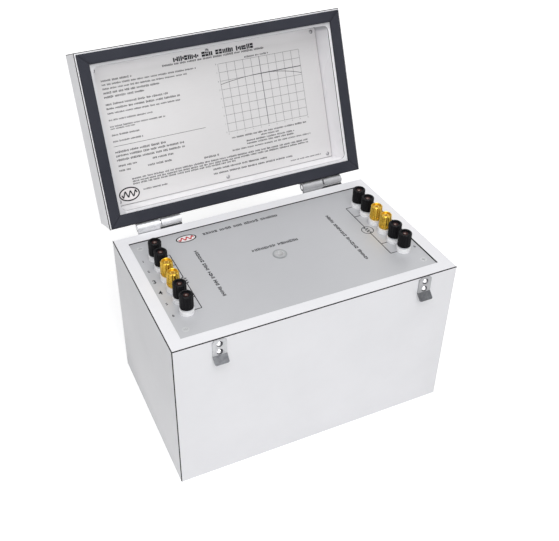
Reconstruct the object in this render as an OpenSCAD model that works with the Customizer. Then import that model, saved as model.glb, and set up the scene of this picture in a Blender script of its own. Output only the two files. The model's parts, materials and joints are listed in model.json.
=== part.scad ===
/* [Case] */
// Outside width of the case, left to right
case_w = 317; // [300:1:360]
// Outside depth of the case, front to back
case_d = 194; // [180:1:240]
// Height of the case from the bench to its rim
case_h = 187; // [185:1:240]
// Thickness of the boards in the case and the lid
board_t = 13.3; // [10:0.1:16]
// Thickness of the white laminate on the boards
laminate_t = 0.9; // [0.9:0.1:2]
// Bevel that trims the laminate's outer edges and bares its dark core
edge_bevel = 0.8; // [0.2:0.1:0.8]
// Glue line between boards that meet, and between sheets that meet
glue_t = 0.05; // [0.02:0.01:0.2]
// Width of the cleats that carry the panel
cleat_w = 17; // [15:0.5:22]
// Height of the cleats
cleat_h = 14; // [8:0.5:20]

/* [Lid] */
// Depth of the lid from the gasket's face to its outer top
lid_depth = 51; // [48:0.5:80]
// Angle that the lid stands open
open_angle = 112.5; // [100:0.5:120]
// Thickness of the foam gasket
gasket_t = 3; // [2:0.1:5]
// Width of the foam gasket
gasket_w = 13; // [10:0.5:13.5]
// Distance from the lid's outer edge to the gasket
gasket_margin = 1.1; // [0.8:0.1:2]
// Gap between the gasket and the rim when the lid is shut
gasket_gap = 0.3; // [0.2:0.05:0.6]
// Thickness of the white lining on the lid's inner walls
liner_t = 3.1; // [2:0.1:5]
// Corner radius of the routed opening in the lid's rim
rim_corner_r = 7; // [3:0.5:12]
// Thickness of the label plate in the lid
label_t = 1.2; // [0.8:0.1:2]
// Gap between the label plate and the lining
label_gap = 0.7; // [0.3:0.1:2]
// Corner radius of the label plate
label_corner_r = 2; // [1:0.5:4]
// Distance of the label screws from the plate's end edges
label_screw_x = 5.6; // [4:0.1:12]
// Distance of the label screws from the plate's long edges
label_screw_y = 4.2; // [3.2:0.1:8]
// Radius of the label screw heads
label_head_r = 2.3; // [1.8:0.1:3]
// Radius of the label screw shanks
label_shank_r = 1.2; // [0.8:0.1:1.5]
// Length of the label screw shanks
label_shank_len = 8; // [5:0.5:10]

/* [Instrument panel] */
// Thickness of the panel
panel_t = 3; // [2:0.1:4]
// Depth of the panel's face below the rim
panel_recess = 1.2; // [0.5:0.1:3]
// Gap between the panel's edge and the boards
panel_gap = 0.3; // [0.2:0.05:1]
// Corner radius of the panel
panel_corner_r = 2; // [1:0.5:4]
// Distance of the panel screws from the panel's end edges
panel_screw_x = 9.3; // [7:0.1:12]
// Distance of the panel screws from the panel's long edges
panel_screw_y = 11.5; // [7:0.1:13]
// Radius of the panel screw heads
panel_head_r = 3.6; // [3:0.1:4.5]
// Radius of the panel screw shanks
panel_shank_r = 1.7; // [1.2:0.1:2]
// Length of the panel screws
panel_screw_len = 13; // [10:0.5:16]

/* [Thermometer well] */
// Radius of the well's bore
well_r = 4; // [3:0.1:5]
// Wall thickness of the well tube
well_wall = 1; // [0.6:0.1:1.5]
// Depth of the bore
well_depth = 112; // [80:1:118]
// Thickness of the closed end
well_end_t = 1.5; // [1:0.1:3]
// Wall of the grommet around the tube
grommet_wall = 1; // [0.8:0.1:2]
// Width of the grommet's lips beyond its neck
grommet_lip = 1.8; // [0.5:0.1:3]
// Thickness of the grommet's lips
grommet_lip_t = 0.9; // [0.6:0.1:2]

/* [Binding posts] */
// Distance of each row of posts from the case's nearest side
post_inset = 33.9; // [33.5:0.1:40.5]
// Distance between neighbouring posts
post_pitch = 19.05; // [18:0.05:20]
// Radius of the threaded stud
stud_r = 3.175; // [3:0.025:3.3]
// Radius of the socket in the stud's top
socket_r = 2.03; // [1.95:0.01:2.05]
// Depth of the socket
socket_depth = 14.4; // [12:0.1:15]
// Height of the knob's top above the rim
knob_top = 22; // [20:0.1:24]
// Radius of the knob
knob_r = 7.1; // [6.8:0.1:7.6]
// Radius of a gold knob at its top, to which it tapers
gold_top_r = 6.4; // [6.3:0.1:7]
// Depth of the dish in the knob's top
dish_depth = 1.8; // [1:0.1:2.5]
// Radius of the dish
dish_r = 4.9; // [4.2:0.1:5]
// Bevel at the dish's edge
dish_bevel = 0.4; // [0.1:0.1:0.5]
// Thickness of the web under the dish
web_t = 1.2; // [0.8:0.1:2]
// Radius of the stud's nose, which shows in the dish
nose_r = 2.5; // [2.4:0.05:2.8]
// Height of the nose above the floor of the dish
nose_rise = 0.3; // [0:0.1:0.8]
// Clearance between the stud and what turns or slides on it
stud_clearance = 0.08; // [0.03:0.01:0.1]
// Grooves around a black knob
black_grooves = 14; // [8:1:16]
// Grooves around a gold knob
gold_grooves = 10; // [6:1:12]
// Radius of a groove in a black knob
black_groove_r = 0.95; // [0.5:0.05:1.2]
// Radius of a groove in a gold knob
gold_groove_r = 1.35; // [0.5:0.05:1.6]
// Part of a groove's radius that lies outside the knob
groove_out = 0.35; // [0:0.05:0.6]
// Height of the plain band under the grooves
knob_band = 1.6; // [1:0.1:3]
// Bevel at the knob's top
knob_bevel = 0.9; // [0.3:0.1:1]
// Bevel at the knob's foot
foot_bevel = 0.5; // [0.2:0.1:1]
// Height of the pale collar above the panel
collar_h = 4.6; // [4:0.1:5.5]
// How much taller the collars of the gold posts are
gold_rise = 1.5; // [0:0.1:2.5]
// Radius of the collar
collar_r = 7.6; // [6.5:0.1:8]
// Radius of the lower washer
washer_r = 6.3; // [5.6:0.1:7]
// Radius of the spigots in the panel's holes
spigot_r = 4.5; // [4:0.1:5]
// Gap between the two spigots in one hole
spigot_gap = 0.2; // [0.1:0.1:0.6]
// Radius of the stud's flange in the collar
flange_r = 5; // [4.6:0.1:5.4]
// Thickness of the stud's flange
flange_t = 1.2; // [0.8:0.1:1.6]
// Thickness of the clamp ring under the knob
clamp_t = 1.2; // [0.8:0.1:1.8]
// Radius of the clamp ring
clamp_r = 6.2; // [5.6:0.1:6.6]
// Radius of the ring's neck inside the knob
clamp_neck_r = 4.6; // [4.2:0.1:5]
// Height of the neck
clamp_neck_h = 2.2; // [1.5:0.1:3]
// Gap between the collar, the clamp ring and the knob
post_gap = 0.3; // [0.2:0.05:0.5]
// Thickness of the lower washer
washer_t = 2.5; // [1.5:0.1:4]
// Gap between the washers and the cleats cut back beside them
washer_room = 1; // [0.5:0.1:2]
// Width across the flats of the nut
nut_af = 10; // [9:0.1:11.5]
// Height of the nut
nut_h = 4.5; // [3:0.1:6]
// Length of the stud below the nut
stud_tail = 2; // [1:0.1:4]
// Thickness of a solder lug
lug_t = 0.8; // [0.5:0.1:1.2]
// Length of a solder lug from the stud to its eye
lug_reach = 11; // [9:0.5:14]
// Width of a lug's ring around the stud
lug_ring = 1.8; // [1:0.1:2.5]
// Width of a lug's eye around the lead
lug_eye = 1.2; // [0.8:0.1:2]

/* [Resistor can] */
// Outside radius of the can
can_r = 58; // [52:0.5:62]
// Height of the can under its cover
can_h = 112; // [110:1:118]
// Wall thickness of the can
can_wall = 1; // [0.6:0.1:2]
// Width of the rim where the cover is soldered
can_rim = 4; // [3:0.5:6]
// Thickness of the cover
cover_t = 2; // [1.5:0.1:3]
// Length of the standoffs between the panel and the cover
standoff_len = 18; // [16:0.5:24]
// Width across the flats of a standoff
standoff_af = 8; // [6:0.5:10]
// Distance of the standoffs from the middle
standoff_ring = 48; // [44:0.5:50]
// Radius of a lead seal
seal_r = 2.6; // [2:0.1:3]
// Height of a lead seal
seal_h = 3; // [2:0.1:5]
// Distance between neighbouring seals
seal_pitch = 9; // [7:0.5:10]
// Distance of each row of seals from the middle
seal_x = 30; // [26:0.5:34]
// Radius of the lead wires
lead_r = 0.8; // [0.5:0.1:1]
// Radius of the bends in the lead wires
lead_bend_r = 2; // [1.2:0.1:2.5]
// Distance between the resistor cards
card_pitch = 13; // [12:0.5:16]
// Width of a resistor card
card_w = 62; // [50:1:66]
// Height of a resistor card
card_h = 88; // [70:1:100]
// Thickness of a bare card
card_t = 1; // [0.6:0.1:2]
// Thickness of the winding on each side of a card
winding_t = 1.1; // [0.6:0.1:2]
// Bare ends of a card above and below its winding
winding_end = 8; // [4:0.5:16]
// Bare sides of a card beside its winding
winding_side = 3; // [1:0.5:6]
// Bands on a winding
winding_bands = 9; // [5:1:12]
// Part of a band's pitch that is wire
band_share = 0.8; // [0.5:0.05:0.95]
// Length of the temperature sensor's spool
spool_len = 30; // [20:1:40]
// Radius of the spool's flanges
spool_r = 9; // [7.5:0.1:10]
// Thickness of the spool's flanges
spool_flange_t = 1.5; // [0.8:0.1:3]
// Depth of the spool between its flanges
spool_waist = 1.6; // [0.5:0.1:2]
// Height of the spool above the closed end of the tube
spool_rise = 6; // [2:0.5:20]
// Depth of the can's seat in the foam cradle
cradle_depth = 56; // [30:1:80]

/* [Hinges] */
// Middle of the left hinge
hinge_left_x = -102; // [-110:1:-80]
// Middle of the right hinge
hinge_right_x = 105; // [80:1:115]
// Length of a hinge
hinge_len = 52; // [44:1:64]
// Radius of the barrel
barrel_r = 4.8; // [4:0.1:6]
// Radius of the pin
pin_r = 2.5; // [2:0.1:3]
// Clearance between the pin and the lid's knuckle
pin_clearance = 0.08; // [0.03:0.01:0.1]
// Thickness of a leaf
leaf_t = 2.2; // [1.5:0.1:2.4]
// Height of a leaf from the hinge's axis
leaf_h = 33; // [28:1:36]
// Gap between parts of the hinge that move past each other
hinge_gap = 0.3; // [0.2:0.05:0.5]
// Room between a leaf and the other leaf's knuckle
leaf_relief = 1; // [0.5:0.1:2]
// Distance of the pin's free end inside the lid's knuckle
pin_recess = 1; // [0.2:0.1:3]
// Length of the stop dogs
dog_len = 2; // [1:0.1:4]
// Angle that the stop dog of the case knuckle covers
dog_angle = 120; // [90:1:140]
// Radius of the leaf screws' heads
leaf_head_r = 3; // [2.5:0.1:3.5]
// Radius of the leaf screws' shanks
leaf_shank_r = 1.5; // [1.2:0.1:1.8]
// Length of the leaf screws
leaf_screw_len = 11; // [8:0.5:12]
// Distance of a leaf's middle screw from the leaf's long edge
leaf_screw_edge = 7; // [4.5:0.5:10]
// Distance of a leaf's outer screws from the top of its flat part
leaf_screw_fold = 6; // [4.5:0.5:9]

/* [Strikes] */
// Middle of the left strike
strike_left_x = -111; // [-120:1:-80]
// Middle of the right strike
strike_right_x = 119; // [80:1:125]
// Width of a strike plate
strike_w = 15; // [12:0.5:22]
// Height of the flat part of a strike
strike_h = 19.5; // [17:0.5:26]
// Thickness of a strike
strike_t = 1.4; // [1:0.1:2]
// Length of the lip that stands out
strike_lip = 10; // [5:0.1:12]
// Angle of the lip from the case
strike_angle = 46; // [20:1:70]
// Corner radius of the lip
strike_lip_r = 2; // [0.5:0.1:4]
// Corner cut at the top of a strike
strike_cut = 2.2; // [1:0.1:3]
// Distance from the rim to the strike's top
strike_drop = 0.8; // [0.2:0.1:3]
// Distance between the two rivets
rivet_pitch = 9.6; // [8:0.1:12]
// Distance from the strike's top to the upper rivet
rivet_top = 5.2; // [4.5:0.1:7]
// Radius of the rivet heads
rivet_head_r = 3.4; // [2.5:0.1:4]
// Height of the rivet heads
rivet_head_h = 2; // [1:0.1:2.4]
// Radius of the rivet shanks
rivet_shank_r = 1.6; // [1:0.1:2]
// Length of the rivet shanks in the case
rivet_shank_len = 11; // [6:0.5:13]

/* [Hidden] */
$fn = 64;
sides = [-1, 1];
posts = [1, 2, 3, 4, 5, 6];
post_count = len(posts);
hinges = [hinge_left_x, hinge_right_x];
strikes = [strike_left_x, strike_right_x];

// Inside of the case, and the levels of what hangs from its rim
wall_t = board_t + laminate_t;
inner_w = case_w - 2 * wall_t;
inner_d = case_d - 2 * wall_t;
panel_top = case_h - panel_recess;
panel_bottom = panel_top - panel_t;
panel_w = inner_w - 2 * panel_gap;
panel_d = inner_d - 2 * panel_gap;
grommet_r = well_r + well_wall + grommet_wall;

// Rows of posts, and the levels of a post from its top down and from the washer down
post_x = case_w / 2 - post_inset;
dish_floor = case_h + knob_top - dish_depth;
stud_top = dish_floor + nose_rise;
shoulder_z = dish_floor - web_t - post_gap;
washer_z = panel_bottom - washer_t;
lug_z = washer_z - lug_t;
nut_z = lug_z - nut_h;
stud_bottom = nut_z - stud_tail;
spigot_len = (panel_t - spigot_gap) / 2;
moving_r = stud_r + stud_clearance;

// Levels of the can
cover_top = panel_bottom - standoff_len;
cover_z = cover_top - cover_t;
can_z = cover_z - can_h;
lead_z = (cover_top + seal_h + stud_bottom) / 2;

// Lid, described shut and then swung open about the hinge axis
lid_z = case_h + gasket_gap;
lid_rim_z = lid_z + gasket_t;
lid_wall_z = lid_rim_z + laminate_t;
lid_top = lid_z + lid_depth;
lid_board_z = lid_top - laminate_t - board_t;
lid_sheet_top = lid_top - laminate_t - glue_t;
recess_w = inner_w - 2 * liner_t;
recess_d = inner_d - 2 * liner_t;
label_z = lid_board_z - label_t;
label_w = recess_w - 2 * label_gap;
label_d = recess_d - 2 * label_gap;

// Hinge axis, behind the case and above its rim
axis_y = case_d / 2 + barrel_r + hinge_gap;
axis_z = case_h + barrel_r;
leaf_flat = leaf_h - barrel_r - leaf_relief;
// How far the case leaf's top edge lies below the axis where the lid's knuckle turns over it
under_knuckle = sqrt(pow(barrel_r, 2) - pow(barrel_r + hinge_gap - leaf_t, 2)) + hinge_gap;
dog_start_angle = -170;
dog_gap_angle = 4;
lid_dog_angle = 360 - dog_angle - open_angle - 2 * dog_gap_angle;

// Cross recess of a screw: its reach and its width, for a head of radius 1
cross_reach = 0.6;
cross_width = 0.25;

// Colours as the photograph shows them
white_laminate = [0.9, 0.9, 0.92];
board_colour = [0.72, 0.6, 0.45];
satin_silver = [0.76, 0.77, 0.79];
bright_steel = [0.66, 0.67, 0.69];
foam_black = [0.14, 0.15, 0.17];
knob_black = [0.09, 0.09, 0.1];
knob_gold = [0.85, 0.66, 0.2];

// Post n stands n places from the back; the two in the middle are gold
function post_y(n) = ((post_count + 1) / 2 - n) * post_pitch;
function is_gold(n) = n == post_count / 2 || n == post_count / 2 + 1;

// Levels of post n from the collar up
function collar_top(n) = panel_top + collar_h + (is_gold(n) ? gold_rise : 0);
function clamp_z(n) = collar_top(n) + post_gap;
function knob_z(n) = clamp_z(n) + clamp_t + post_gap;

// Rectangle with round corners, made of plain shapes so that its arcs stay true
module rounded_rect(w, d, r) {
    square([w - 2 * r, d], center = true);
    square([w, d - 2 * r], center = true);
    for (x = sides, y = sides)
        translate([x * (w / 2 - r), y * (d / 2 - r)])
            circle(r);
}

// Section of a laminate sheet on y = 0, its two outer edges bevelled
module sheet_section(w) {
    polygon([
        [-w / 2, 0],
        [w / 2, 0],
        [w / 2, laminate_t - edge_bevel],
        [w / 2 - edge_bevel, laminate_t],
        [edge_bevel - w / 2, laminate_t],
        [-w / 2, laminate_t - edge_bevel]
    ]);
}

// Sheet lying on z = 0 with all four outer edges bevelled
module flat_sheet(w, d) {
    intersection() {
        rotate([90, 0, 0])
            linear_extrude(d, center = true)
                sheet_section(w);
        rotate([90, 0, 90])
            linear_extrude(w, center = true)
                sheet_section(d);
    }
}

// Sheet standing against the back or the front, by side, with its outer upright edges bevelled
module wall_sheet(side, z0, z1) {
    translate([0, side * (case_d / 2 - laminate_t), z0])
        linear_extrude(z1 - z0)
            rotate(side < 0 ? 180 : 0)
                sheet_section(case_w);
}

// Upright box centred on the middle of the case
module slab(w, d, z0, z1) {
    translate([-w / 2, -d / 2, z0])
        cube([w, d, z1 - z0]);
}

// Four boards of one thickness, the long ones running past the short ones
module four_boards(w, d, t, z0, z1) {
    for (s = sides)
        translate([0, s * (d - t) / 2, 0])
            slab(w, t, z0, z1);
    for (s = sides)
        translate([s * (w - t) / 2, 0, 0])
            slab(t, d - 2 * t - 2 * glue_t, z0, z1);
}

// Extrudes a drawing in Y and Z along X
module along_x(x0, x1) {
    translate([x0, 0, 0])
        rotate([90, 0, 90])
            linear_extrude(x1 - x0)
                children();
}

// Swings what is drawn shut to where the open lid stands
module open_lid() {
    translate([0, axis_y, axis_z])
        rotate([-open_angle, 0, 0])
            translate([0, -axis_y, -axis_z])
                children();
}

// Countersunk screw along -Z with its head flush at z = 0
module screw_shape(head_r, shank_r, length) {
    head_h = head_r - shank_r;
    translate([0, 0, -head_h])
        cylinder(h = head_h, r1 = shank_r, r2 = head_r);
    translate([0, 0, -length])
        cylinder(h = length - head_h, r = shank_r);
}

// The same screw with its cross recess
module cross_screw(head_r, shank_r, length) {
    slot = head_r * cross_width;
    reach = head_r * cross_reach;
    difference() {
        screw_shape(head_r, shank_r, length);
        for (a = [0, 90])
            rotate([0, 0, a])
                translate([-reach, -slot / 2, -slot])
                    cube([2 * reach, slot, slot + 1]);
    }
}

// Places of the panel screws, the label screws and the screws of one leaf
module at_panel_screws() {
    for (x = sides, y = sides)
        translate([x * (panel_w / 2 - panel_screw_x), y * (panel_d / 2 - panel_screw_y), panel_top])
            children();
}

module at_label_screws() {
    for (x = [-1, 0, 1], y = sides)
        translate([x * (label_w / 2 - label_screw_x), y * (label_d / 2 - label_screw_y), label_z])
            rotate([180, 0, 0])
                children();
}

// Screw places on a leaf, by the direction in which it hangs from the axis
module at_leaf_screws(direction) {
    low = leaf_h - leaf_screw_edge;
    high = leaf_h - leaf_flat + leaf_screw_fold;
    for (x = hinges, s = [-1, 0, 1])
        translate([
            x + s * hinge_len / 3,
            case_d / 2 + leaf_t,
            axis_z + direction * (s == 0 ? low : high)
        ])
            rotate([-90, 0, 0])
                children();
}

// Cap of a sphere that stands on z = 0
module dome(r, h) {
    ball_r = (r * r + h * h) / (2 * h);
    intersection() {
        translate([0, 0, h - ball_r])
            sphere(ball_r);
        cylinder(h = h + 1, r = r + 1);
    }
}

// Screw along -Z with a domed head on z = 0
module pan_screw(head_r, shank_r, length) {
    dome(head_r, head_r / 2);
    translate([0, 0, -length])
        cylinder(h = length, r = shank_r);
}

module at_rivets() {
    for (x = strikes, n = [0, 1])
        translate([x, -case_d / 2 - strike_t, case_h - strike_drop - rivet_top - n * rivet_pitch])
            rotate([90, 0, 0])
                children();
}

module rivet_shank() {
    translate([0, 0, -strike_t - rivet_shank_len])
        cylinder(h = strike_t + rivet_shank_len, r = rivet_shank_r);
}

// Everything that is driven into the case's boards from outside
module case_screw_holes() {
    at_leaf_screws(-1)
        screw_shape(leaf_head_r, leaf_shank_r, leaf_screw_len);
    at_rivets()
        rivet_shank();
}

// The same for the lid
module lid_screw_holes() {
    at_leaf_screws(1)
        screw_shape(leaf_head_r, leaf_shank_r, leaf_screw_len);
}

// Case
module case_boards() {
    color(board_colour)
        difference() {
            four_boards(case_w - 2 * laminate_t, case_d - 2 * laminate_t, board_t, 0, case_h - laminate_t);
            case_screw_holes();
        }
}

module bottom_board() {
    color(board_colour)
        slab(inner_w - 2 * glue_t, inner_d - 2 * glue_t, 0, board_t);
}

module front_laminate() {
    color(white_laminate)
        difference() {
            wall_sheet(-1, 0, case_h - laminate_t);
            case_screw_holes();
        }
}

module back_laminate() {
    color(white_laminate)
        difference() {
            wall_sheet(1, 0, case_h - laminate_t);
            case_screw_holes();
        }
}

module end_laminates() {
    color(white_laminate)
        for (s = sides)
            translate([s * (case_w - laminate_t) / 2, 0, 0])
                slab(laminate_t, case_d - 2 * laminate_t, 0, case_h - laminate_t);
}

module rim_laminate() {
    color(white_laminate)
        difference() {
            translate([0, 0, case_h - laminate_t])
                flat_sheet(case_w, case_d);
            slab(inner_w, inner_d, case_h - laminate_t - 1, case_h + 1);
        }
}

module panel_cleats() {
    color(board_colour)
        difference() {
            four_boards(inner_w, inner_d, cleat_w, panel_bottom - cleat_h, panel_bottom);
            at_panel_screws()
                screw_shape(panel_head_r, panel_shank_r, panel_screw_len);
            // Room for the washers and nuts of the posts, which stand near the cleats
            for (s = sides, n = posts)
                translate([s * post_x, post_y(n), panel_bottom - cleat_h - 1])
                    cylinder(h = cleat_h + 2, r = washer_r + washer_room);
        }
}

module instrument_panel() {
    color(satin_silver)
        difference() {
            translate([0, 0, panel_bottom])
                linear_extrude(panel_t)
                    rounded_rect(panel_w, panel_d, panel_corner_r);
            translate([0, 0, panel_bottom - 1])
                cylinder(h = panel_t + 2, r = grommet_r);
            for (s = sides, n = posts)
                translate([s * post_x, post_y(n), panel_bottom - 1])
                    cylinder(h = panel_t + 2, r = spigot_r);
            at_panel_screws()
                screw_shape(panel_head_r, panel_shank_r, panel_screw_len);
        }
}

module panel_screws() {
    color(bright_steel)
        at_panel_screws()
            cross_screw(panel_head_r, panel_shank_r, panel_screw_len);
}

// Thermometer well
module well_grommet() {
    color(white_laminate)
        difference() {
            union() {
                translate([0, 0, panel_top])
                    cylinder(h = grommet_lip_t, r = grommet_r + grommet_lip);
                translate([0, 0, panel_bottom])
                    cylinder(h = panel_t, r = grommet_r);
                translate([0, 0, panel_bottom - grommet_lip_t])
                    cylinder(h = grommet_lip_t, r = grommet_r + grommet_lip);
            }
            translate([0, 0, panel_bottom - grommet_lip_t - 1])
                cylinder(h = panel_t + 2 * grommet_lip_t + 2, r = well_r + well_wall);
        }
}

module well_tube() {
    tube_top = panel_top + grommet_lip_t;
    color(bright_steel)
        difference() {
            translate([0, 0, tube_top - well_depth - well_end_t])
                cylinder(h = well_depth + well_end_t, r = well_r + well_wall);
            translate([0, 0, tube_top - well_depth])
                cylinder(h = well_depth + 1, r = well_r);
        }
}

// Fixed parts of the binding posts
module post_studs() {
    color(knob_gold)
        for (s = sides, n = posts)
            translate([s * post_x, post_y(n), 0])
                difference() {
                    union() {
                        translate([0, 0, stud_bottom])
                            cylinder(h = shoulder_z - stud_bottom, r = stud_r);
                        translate([0, 0, stud_bottom])
                            cylinder(h = stud_top - stud_bottom, r = nose_r);
                        translate([0, 0, collar_top(n) - flange_t])
                            cylinder(h = flange_t, r = flange_r);
                    }
                    translate([0, 0, stud_top - socket_depth])
                        cylinder(h = socket_depth + 1, r = socket_r);
                }
}

// Collar above the panel and washer below it, each with a spigot in the panel's hole
module post_insulators() {
    color([0.93, 0.93, 0.9])
        for (s = sides, n = posts)
            translate([s * post_x, post_y(n), 0]) {
                difference() {
                    union() {
                        translate([0, 0, panel_top])
                            cylinder(h = collar_top(n) - panel_top, r = collar_r);
                        translate([0, 0, panel_top - spigot_len])
                            cylinder(h = spigot_len, r = spigot_r);
                    }
                    translate([0, 0, panel_bottom])
                        cylinder(h = collar_top(n) - panel_bottom + 1, r = stud_r);
                    translate([0, 0, collar_top(n) - flange_t])
                        cylinder(h = flange_t + 1, r = flange_r);
                }
                difference() {
                    union() {
                        translate([0, 0, washer_z])
                            cylinder(h = washer_t, r = washer_r);
                        translate([0, 0, panel_bottom])
                            cylinder(h = spigot_len, r = spigot_r);
                    }
                    translate([0, 0, washer_z - 1])
                        cylinder(h = washer_t + panel_t + 2, r = stud_r);
                }
            }
}

module post_nuts() {
    color(bright_steel)
        for (s = sides, n = posts)
            translate([s * post_x, post_y(n), nut_z])
                difference() {
                    cylinder(h = nut_h, d = nut_af / cos(30), $fn = 6);
                    translate([0, 0, -1])
                        cylinder(h = nut_h + 2, r = stud_r);
                }
}

module solder_lugs() {
    eye_r = lead_r + lug_eye;
    color(knob_gold)
        for (s = sides, n = posts)
            translate([s * post_x, post_y(n), lug_z])
                linear_extrude(lug_t)
                    difference() {
                        union() {
                            circle(stud_r + lug_ring);
                            translate([-s * lug_reach / 2, 0])
                                square([lug_reach, 2 * eye_r], center = true);
                            translate([-s * lug_reach, 0])
                                circle(eye_r);
                        }
                        circle(stud_r);
                        translate([-s * lug_reach, 0])
                            circle(lead_r);
                    }
}

// Moving parts of the binding posts: the ring rises with the knob, and the knob turns
module clamp_ring(side, n) {
    color(is_gold(n) ? knob_gold : bright_steel)
        translate([side * post_x, post_y(n), clamp_z(n)])
            difference() {
                union() {
                    cylinder(h = clamp_t, r = clamp_r);
                    cylinder(h = clamp_t + clamp_neck_h, r = clamp_neck_r);
                }
                translate([0, 0, -1])
                    cylinder(h = clamp_t + clamp_neck_h + 2, r = moving_r);
            }
}

module knob(side, n) {
    grooves = is_gold(n) ? gold_grooves : black_grooves;
    groove_r = is_gold(n) ? gold_groove_r : black_groove_r;
    top_r = is_gold(n) ? gold_top_r : knob_r;
    knob_h = case_h + knob_top - knob_z(n);
    web_z = knob_h - dish_depth - web_t;
    taper = atan((knob_r - top_r) / (knob_h - foot_bevel - knob_bevel));
    color(is_gold(n) ? knob_gold : knob_black)
        translate([side * post_x, post_y(n), knob_z(n)])
            difference() {
                rotate_extrude()
                    polygon([
                        [moving_r, 0],
                        [knob_r - foot_bevel, 0],
                        [knob_r, foot_bevel],
                        [top_r, knob_h - knob_bevel],
                        [top_r - knob_bevel, knob_h],
                        [dish_r + dish_bevel, knob_h],
                        [dish_r, knob_h - dish_bevel],
                        [dish_r, knob_h - dish_depth],
                        [nose_r + stud_clearance, knob_h - dish_depth],
                        [nose_r + stud_clearance, web_z],
                        [moving_r, web_z]
                    ]);
                translate([0, 0, -1])
                    cylinder(h = 1 + clamp_neck_h, r = clamp_neck_r + stud_clearance);
                for (k = [0 : grooves - 1])
                    rotate([0, 0, k * 360 / grooves])
                        translate([knob_r + groove_r * groove_out, 0, knob_band])
                            rotate([0, -taper, 0])
                                cylinder(h = knob_h, r = groove_r);
            }
}

// Sealed can with the resistor in it
module resistor_can() {
    color(satin_silver)
        difference() {
            union() {
                translate([0, 0, can_z])
                    cylinder(h = can_h, r = can_r);
                translate([0, 0, cover_z - cover_t])
                    cylinder(h = cover_t, r = can_r + can_rim);
            }
            translate([0, 0, can_z + can_wall])
                cylinder(h = can_h, r = can_r - can_wall);
        }
}

module can_cover() {
    color(satin_silver)
        difference() {
            union() {
                translate([0, 0, cover_z])
                    cylinder(h = cover_t, r = can_r + can_rim);
                for (s = sides, n = posts)
                    translate(concat(seal_at(s, n), [cover_top]))
                        cylinder(h = seal_h, r = seal_r);
            }
            translate([0, 0, cover_z - 1])
                cylinder(h = cover_t + 2, r = well_r + well_wall);
            for (s = sides, n = posts)
                translate(concat(seal_at(s, n), [cover_z]))
                    cylinder(h = cover_t + seal_h + 1, r = lead_r);
        }
}

// Cards hang from the cover, each wound in bands
module resistor_cards() {
    band_pitch = (card_h - 2 * winding_end) / winding_bands;
    winding_z = cover_z - card_h + winding_end;
    for (k = [-2, -1, 1, 2])
        translate([0, k * card_pitch, 0]) {
            color([0.8, 0.72, 0.5])
                slab(card_w, card_t, cover_z - card_h, cover_z);
            color([0.6, 0.35, 0.2])
                for (b = [0 : winding_bands - 1])
                    slab(card_w - 2 * winding_side, card_t + 2 * winding_t,
                         winding_z + b * band_pitch,
                         winding_z + (b + band_share) * band_pitch);
        }
}

module temperature_sensor() {
    tube_end = panel_top + grommet_lip_t - well_depth - well_end_t;
    color([0.85, 0.85, 0.8])
        translate([0, 0, tube_end + spool_rise])
            rotate_extrude()
                polygon([
                    [well_r + well_wall, 0],
                    [spool_r, 0],
                    [spool_r, spool_flange_t],
                    [spool_r - spool_waist, spool_flange_t],
                    [spool_r - spool_waist, spool_len - spool_flange_t],
                    [spool_r, spool_len - spool_flange_t],
                    [spool_r, spool_len],
                    [well_r + well_wall, spool_len]
                ]);
}

module can_standoffs() {
    color(bright_steel)
        for (a = [45 : 90 : 315])
            rotate([0, 0, a])
                translate([standoff_ring, 0, cover_top])
                    cylinder(h = standoff_len, d = standoff_af / cos(30), $fn = 6);
}

module foam_cradle() {
    color([0.55, 0.57, 0.6])
        difference() {
            slab(inner_w, inner_d, board_t, can_z + cradle_depth);
            translate([0, 0, can_z])
                cylinder(h = can_h, r = can_r);
        }
}

// Quarter bend of a lead in X and Z, from angle a about its centre
module lead_bend(x, z, a) {
    translate([x, 0, z])
        rotate([90, 0, 0])
            rotate([0, 0, a])
                rotate_extrude(angle = 90)
                    translate([lead_bend_r, 0])
                        circle(lead_r, $fn = 24);
}

// Lead from p up to lead_z, across and up again to q
module lead(p, q) {
    run = norm([q[0] - p[0], q[1] - p[1]]);
    low = lead_z - lead_bend_r;
    high = lead_z + lead_bend_r;
    translate([p[0], p[1], 0])
        rotate([0, 0, atan2(q[1] - p[1], q[0] - p[0])]) {
            translate([0, 0, p[2]])
                cylinder(h = low - p[2], r = lead_r);
            lead_bend(lead_bend_r, low, 90);
            translate([lead_bend_r, 0, lead_z])
                rotate([0, 90, 0])
                    cylinder(h = run - 2 * lead_bend_r, r = lead_r);
            lead_bend(run - lead_bend_r, high, -90);
            translate([run, 0, high])
                cylinder(h = q[2] - high, r = lead_r);
        }
}

function seal_at(s, n) = [s * seal_x, ((post_count + 1) / 2 - n) * seal_pitch];

module lead_wires() {
    color([0.75, 0.42, 0.25])
        for (s = sides, n = posts)
            lead(
                concat(seal_at(s, n), [cover_z]),
                [s * (post_x - lug_reach), post_y(n), lug_z + lug_t]
            );
}

// Hinges: a ring sector seen along X, from angle a over a span w
module ring_sector(r_in, a, w) {
    steps = 6;
    intersection() {
        difference() {
            circle(barrel_r);
            circle(r_in);
        }
        polygon(concat(
            [[0, 0]],
            [for (k = [0 : steps]) 2 * barrel_r * [cos(a + w * k / steps), sin(a + w * k / steps)]]
        ));
    }
}

// Knuckle from x0 to x1 about the hinge axis
module knuckle(x0, x1, r_in) {
    along_x(x0, x1)
        difference() {
            circle(barrel_r);
            circle(r_in);
        }
}

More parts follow.
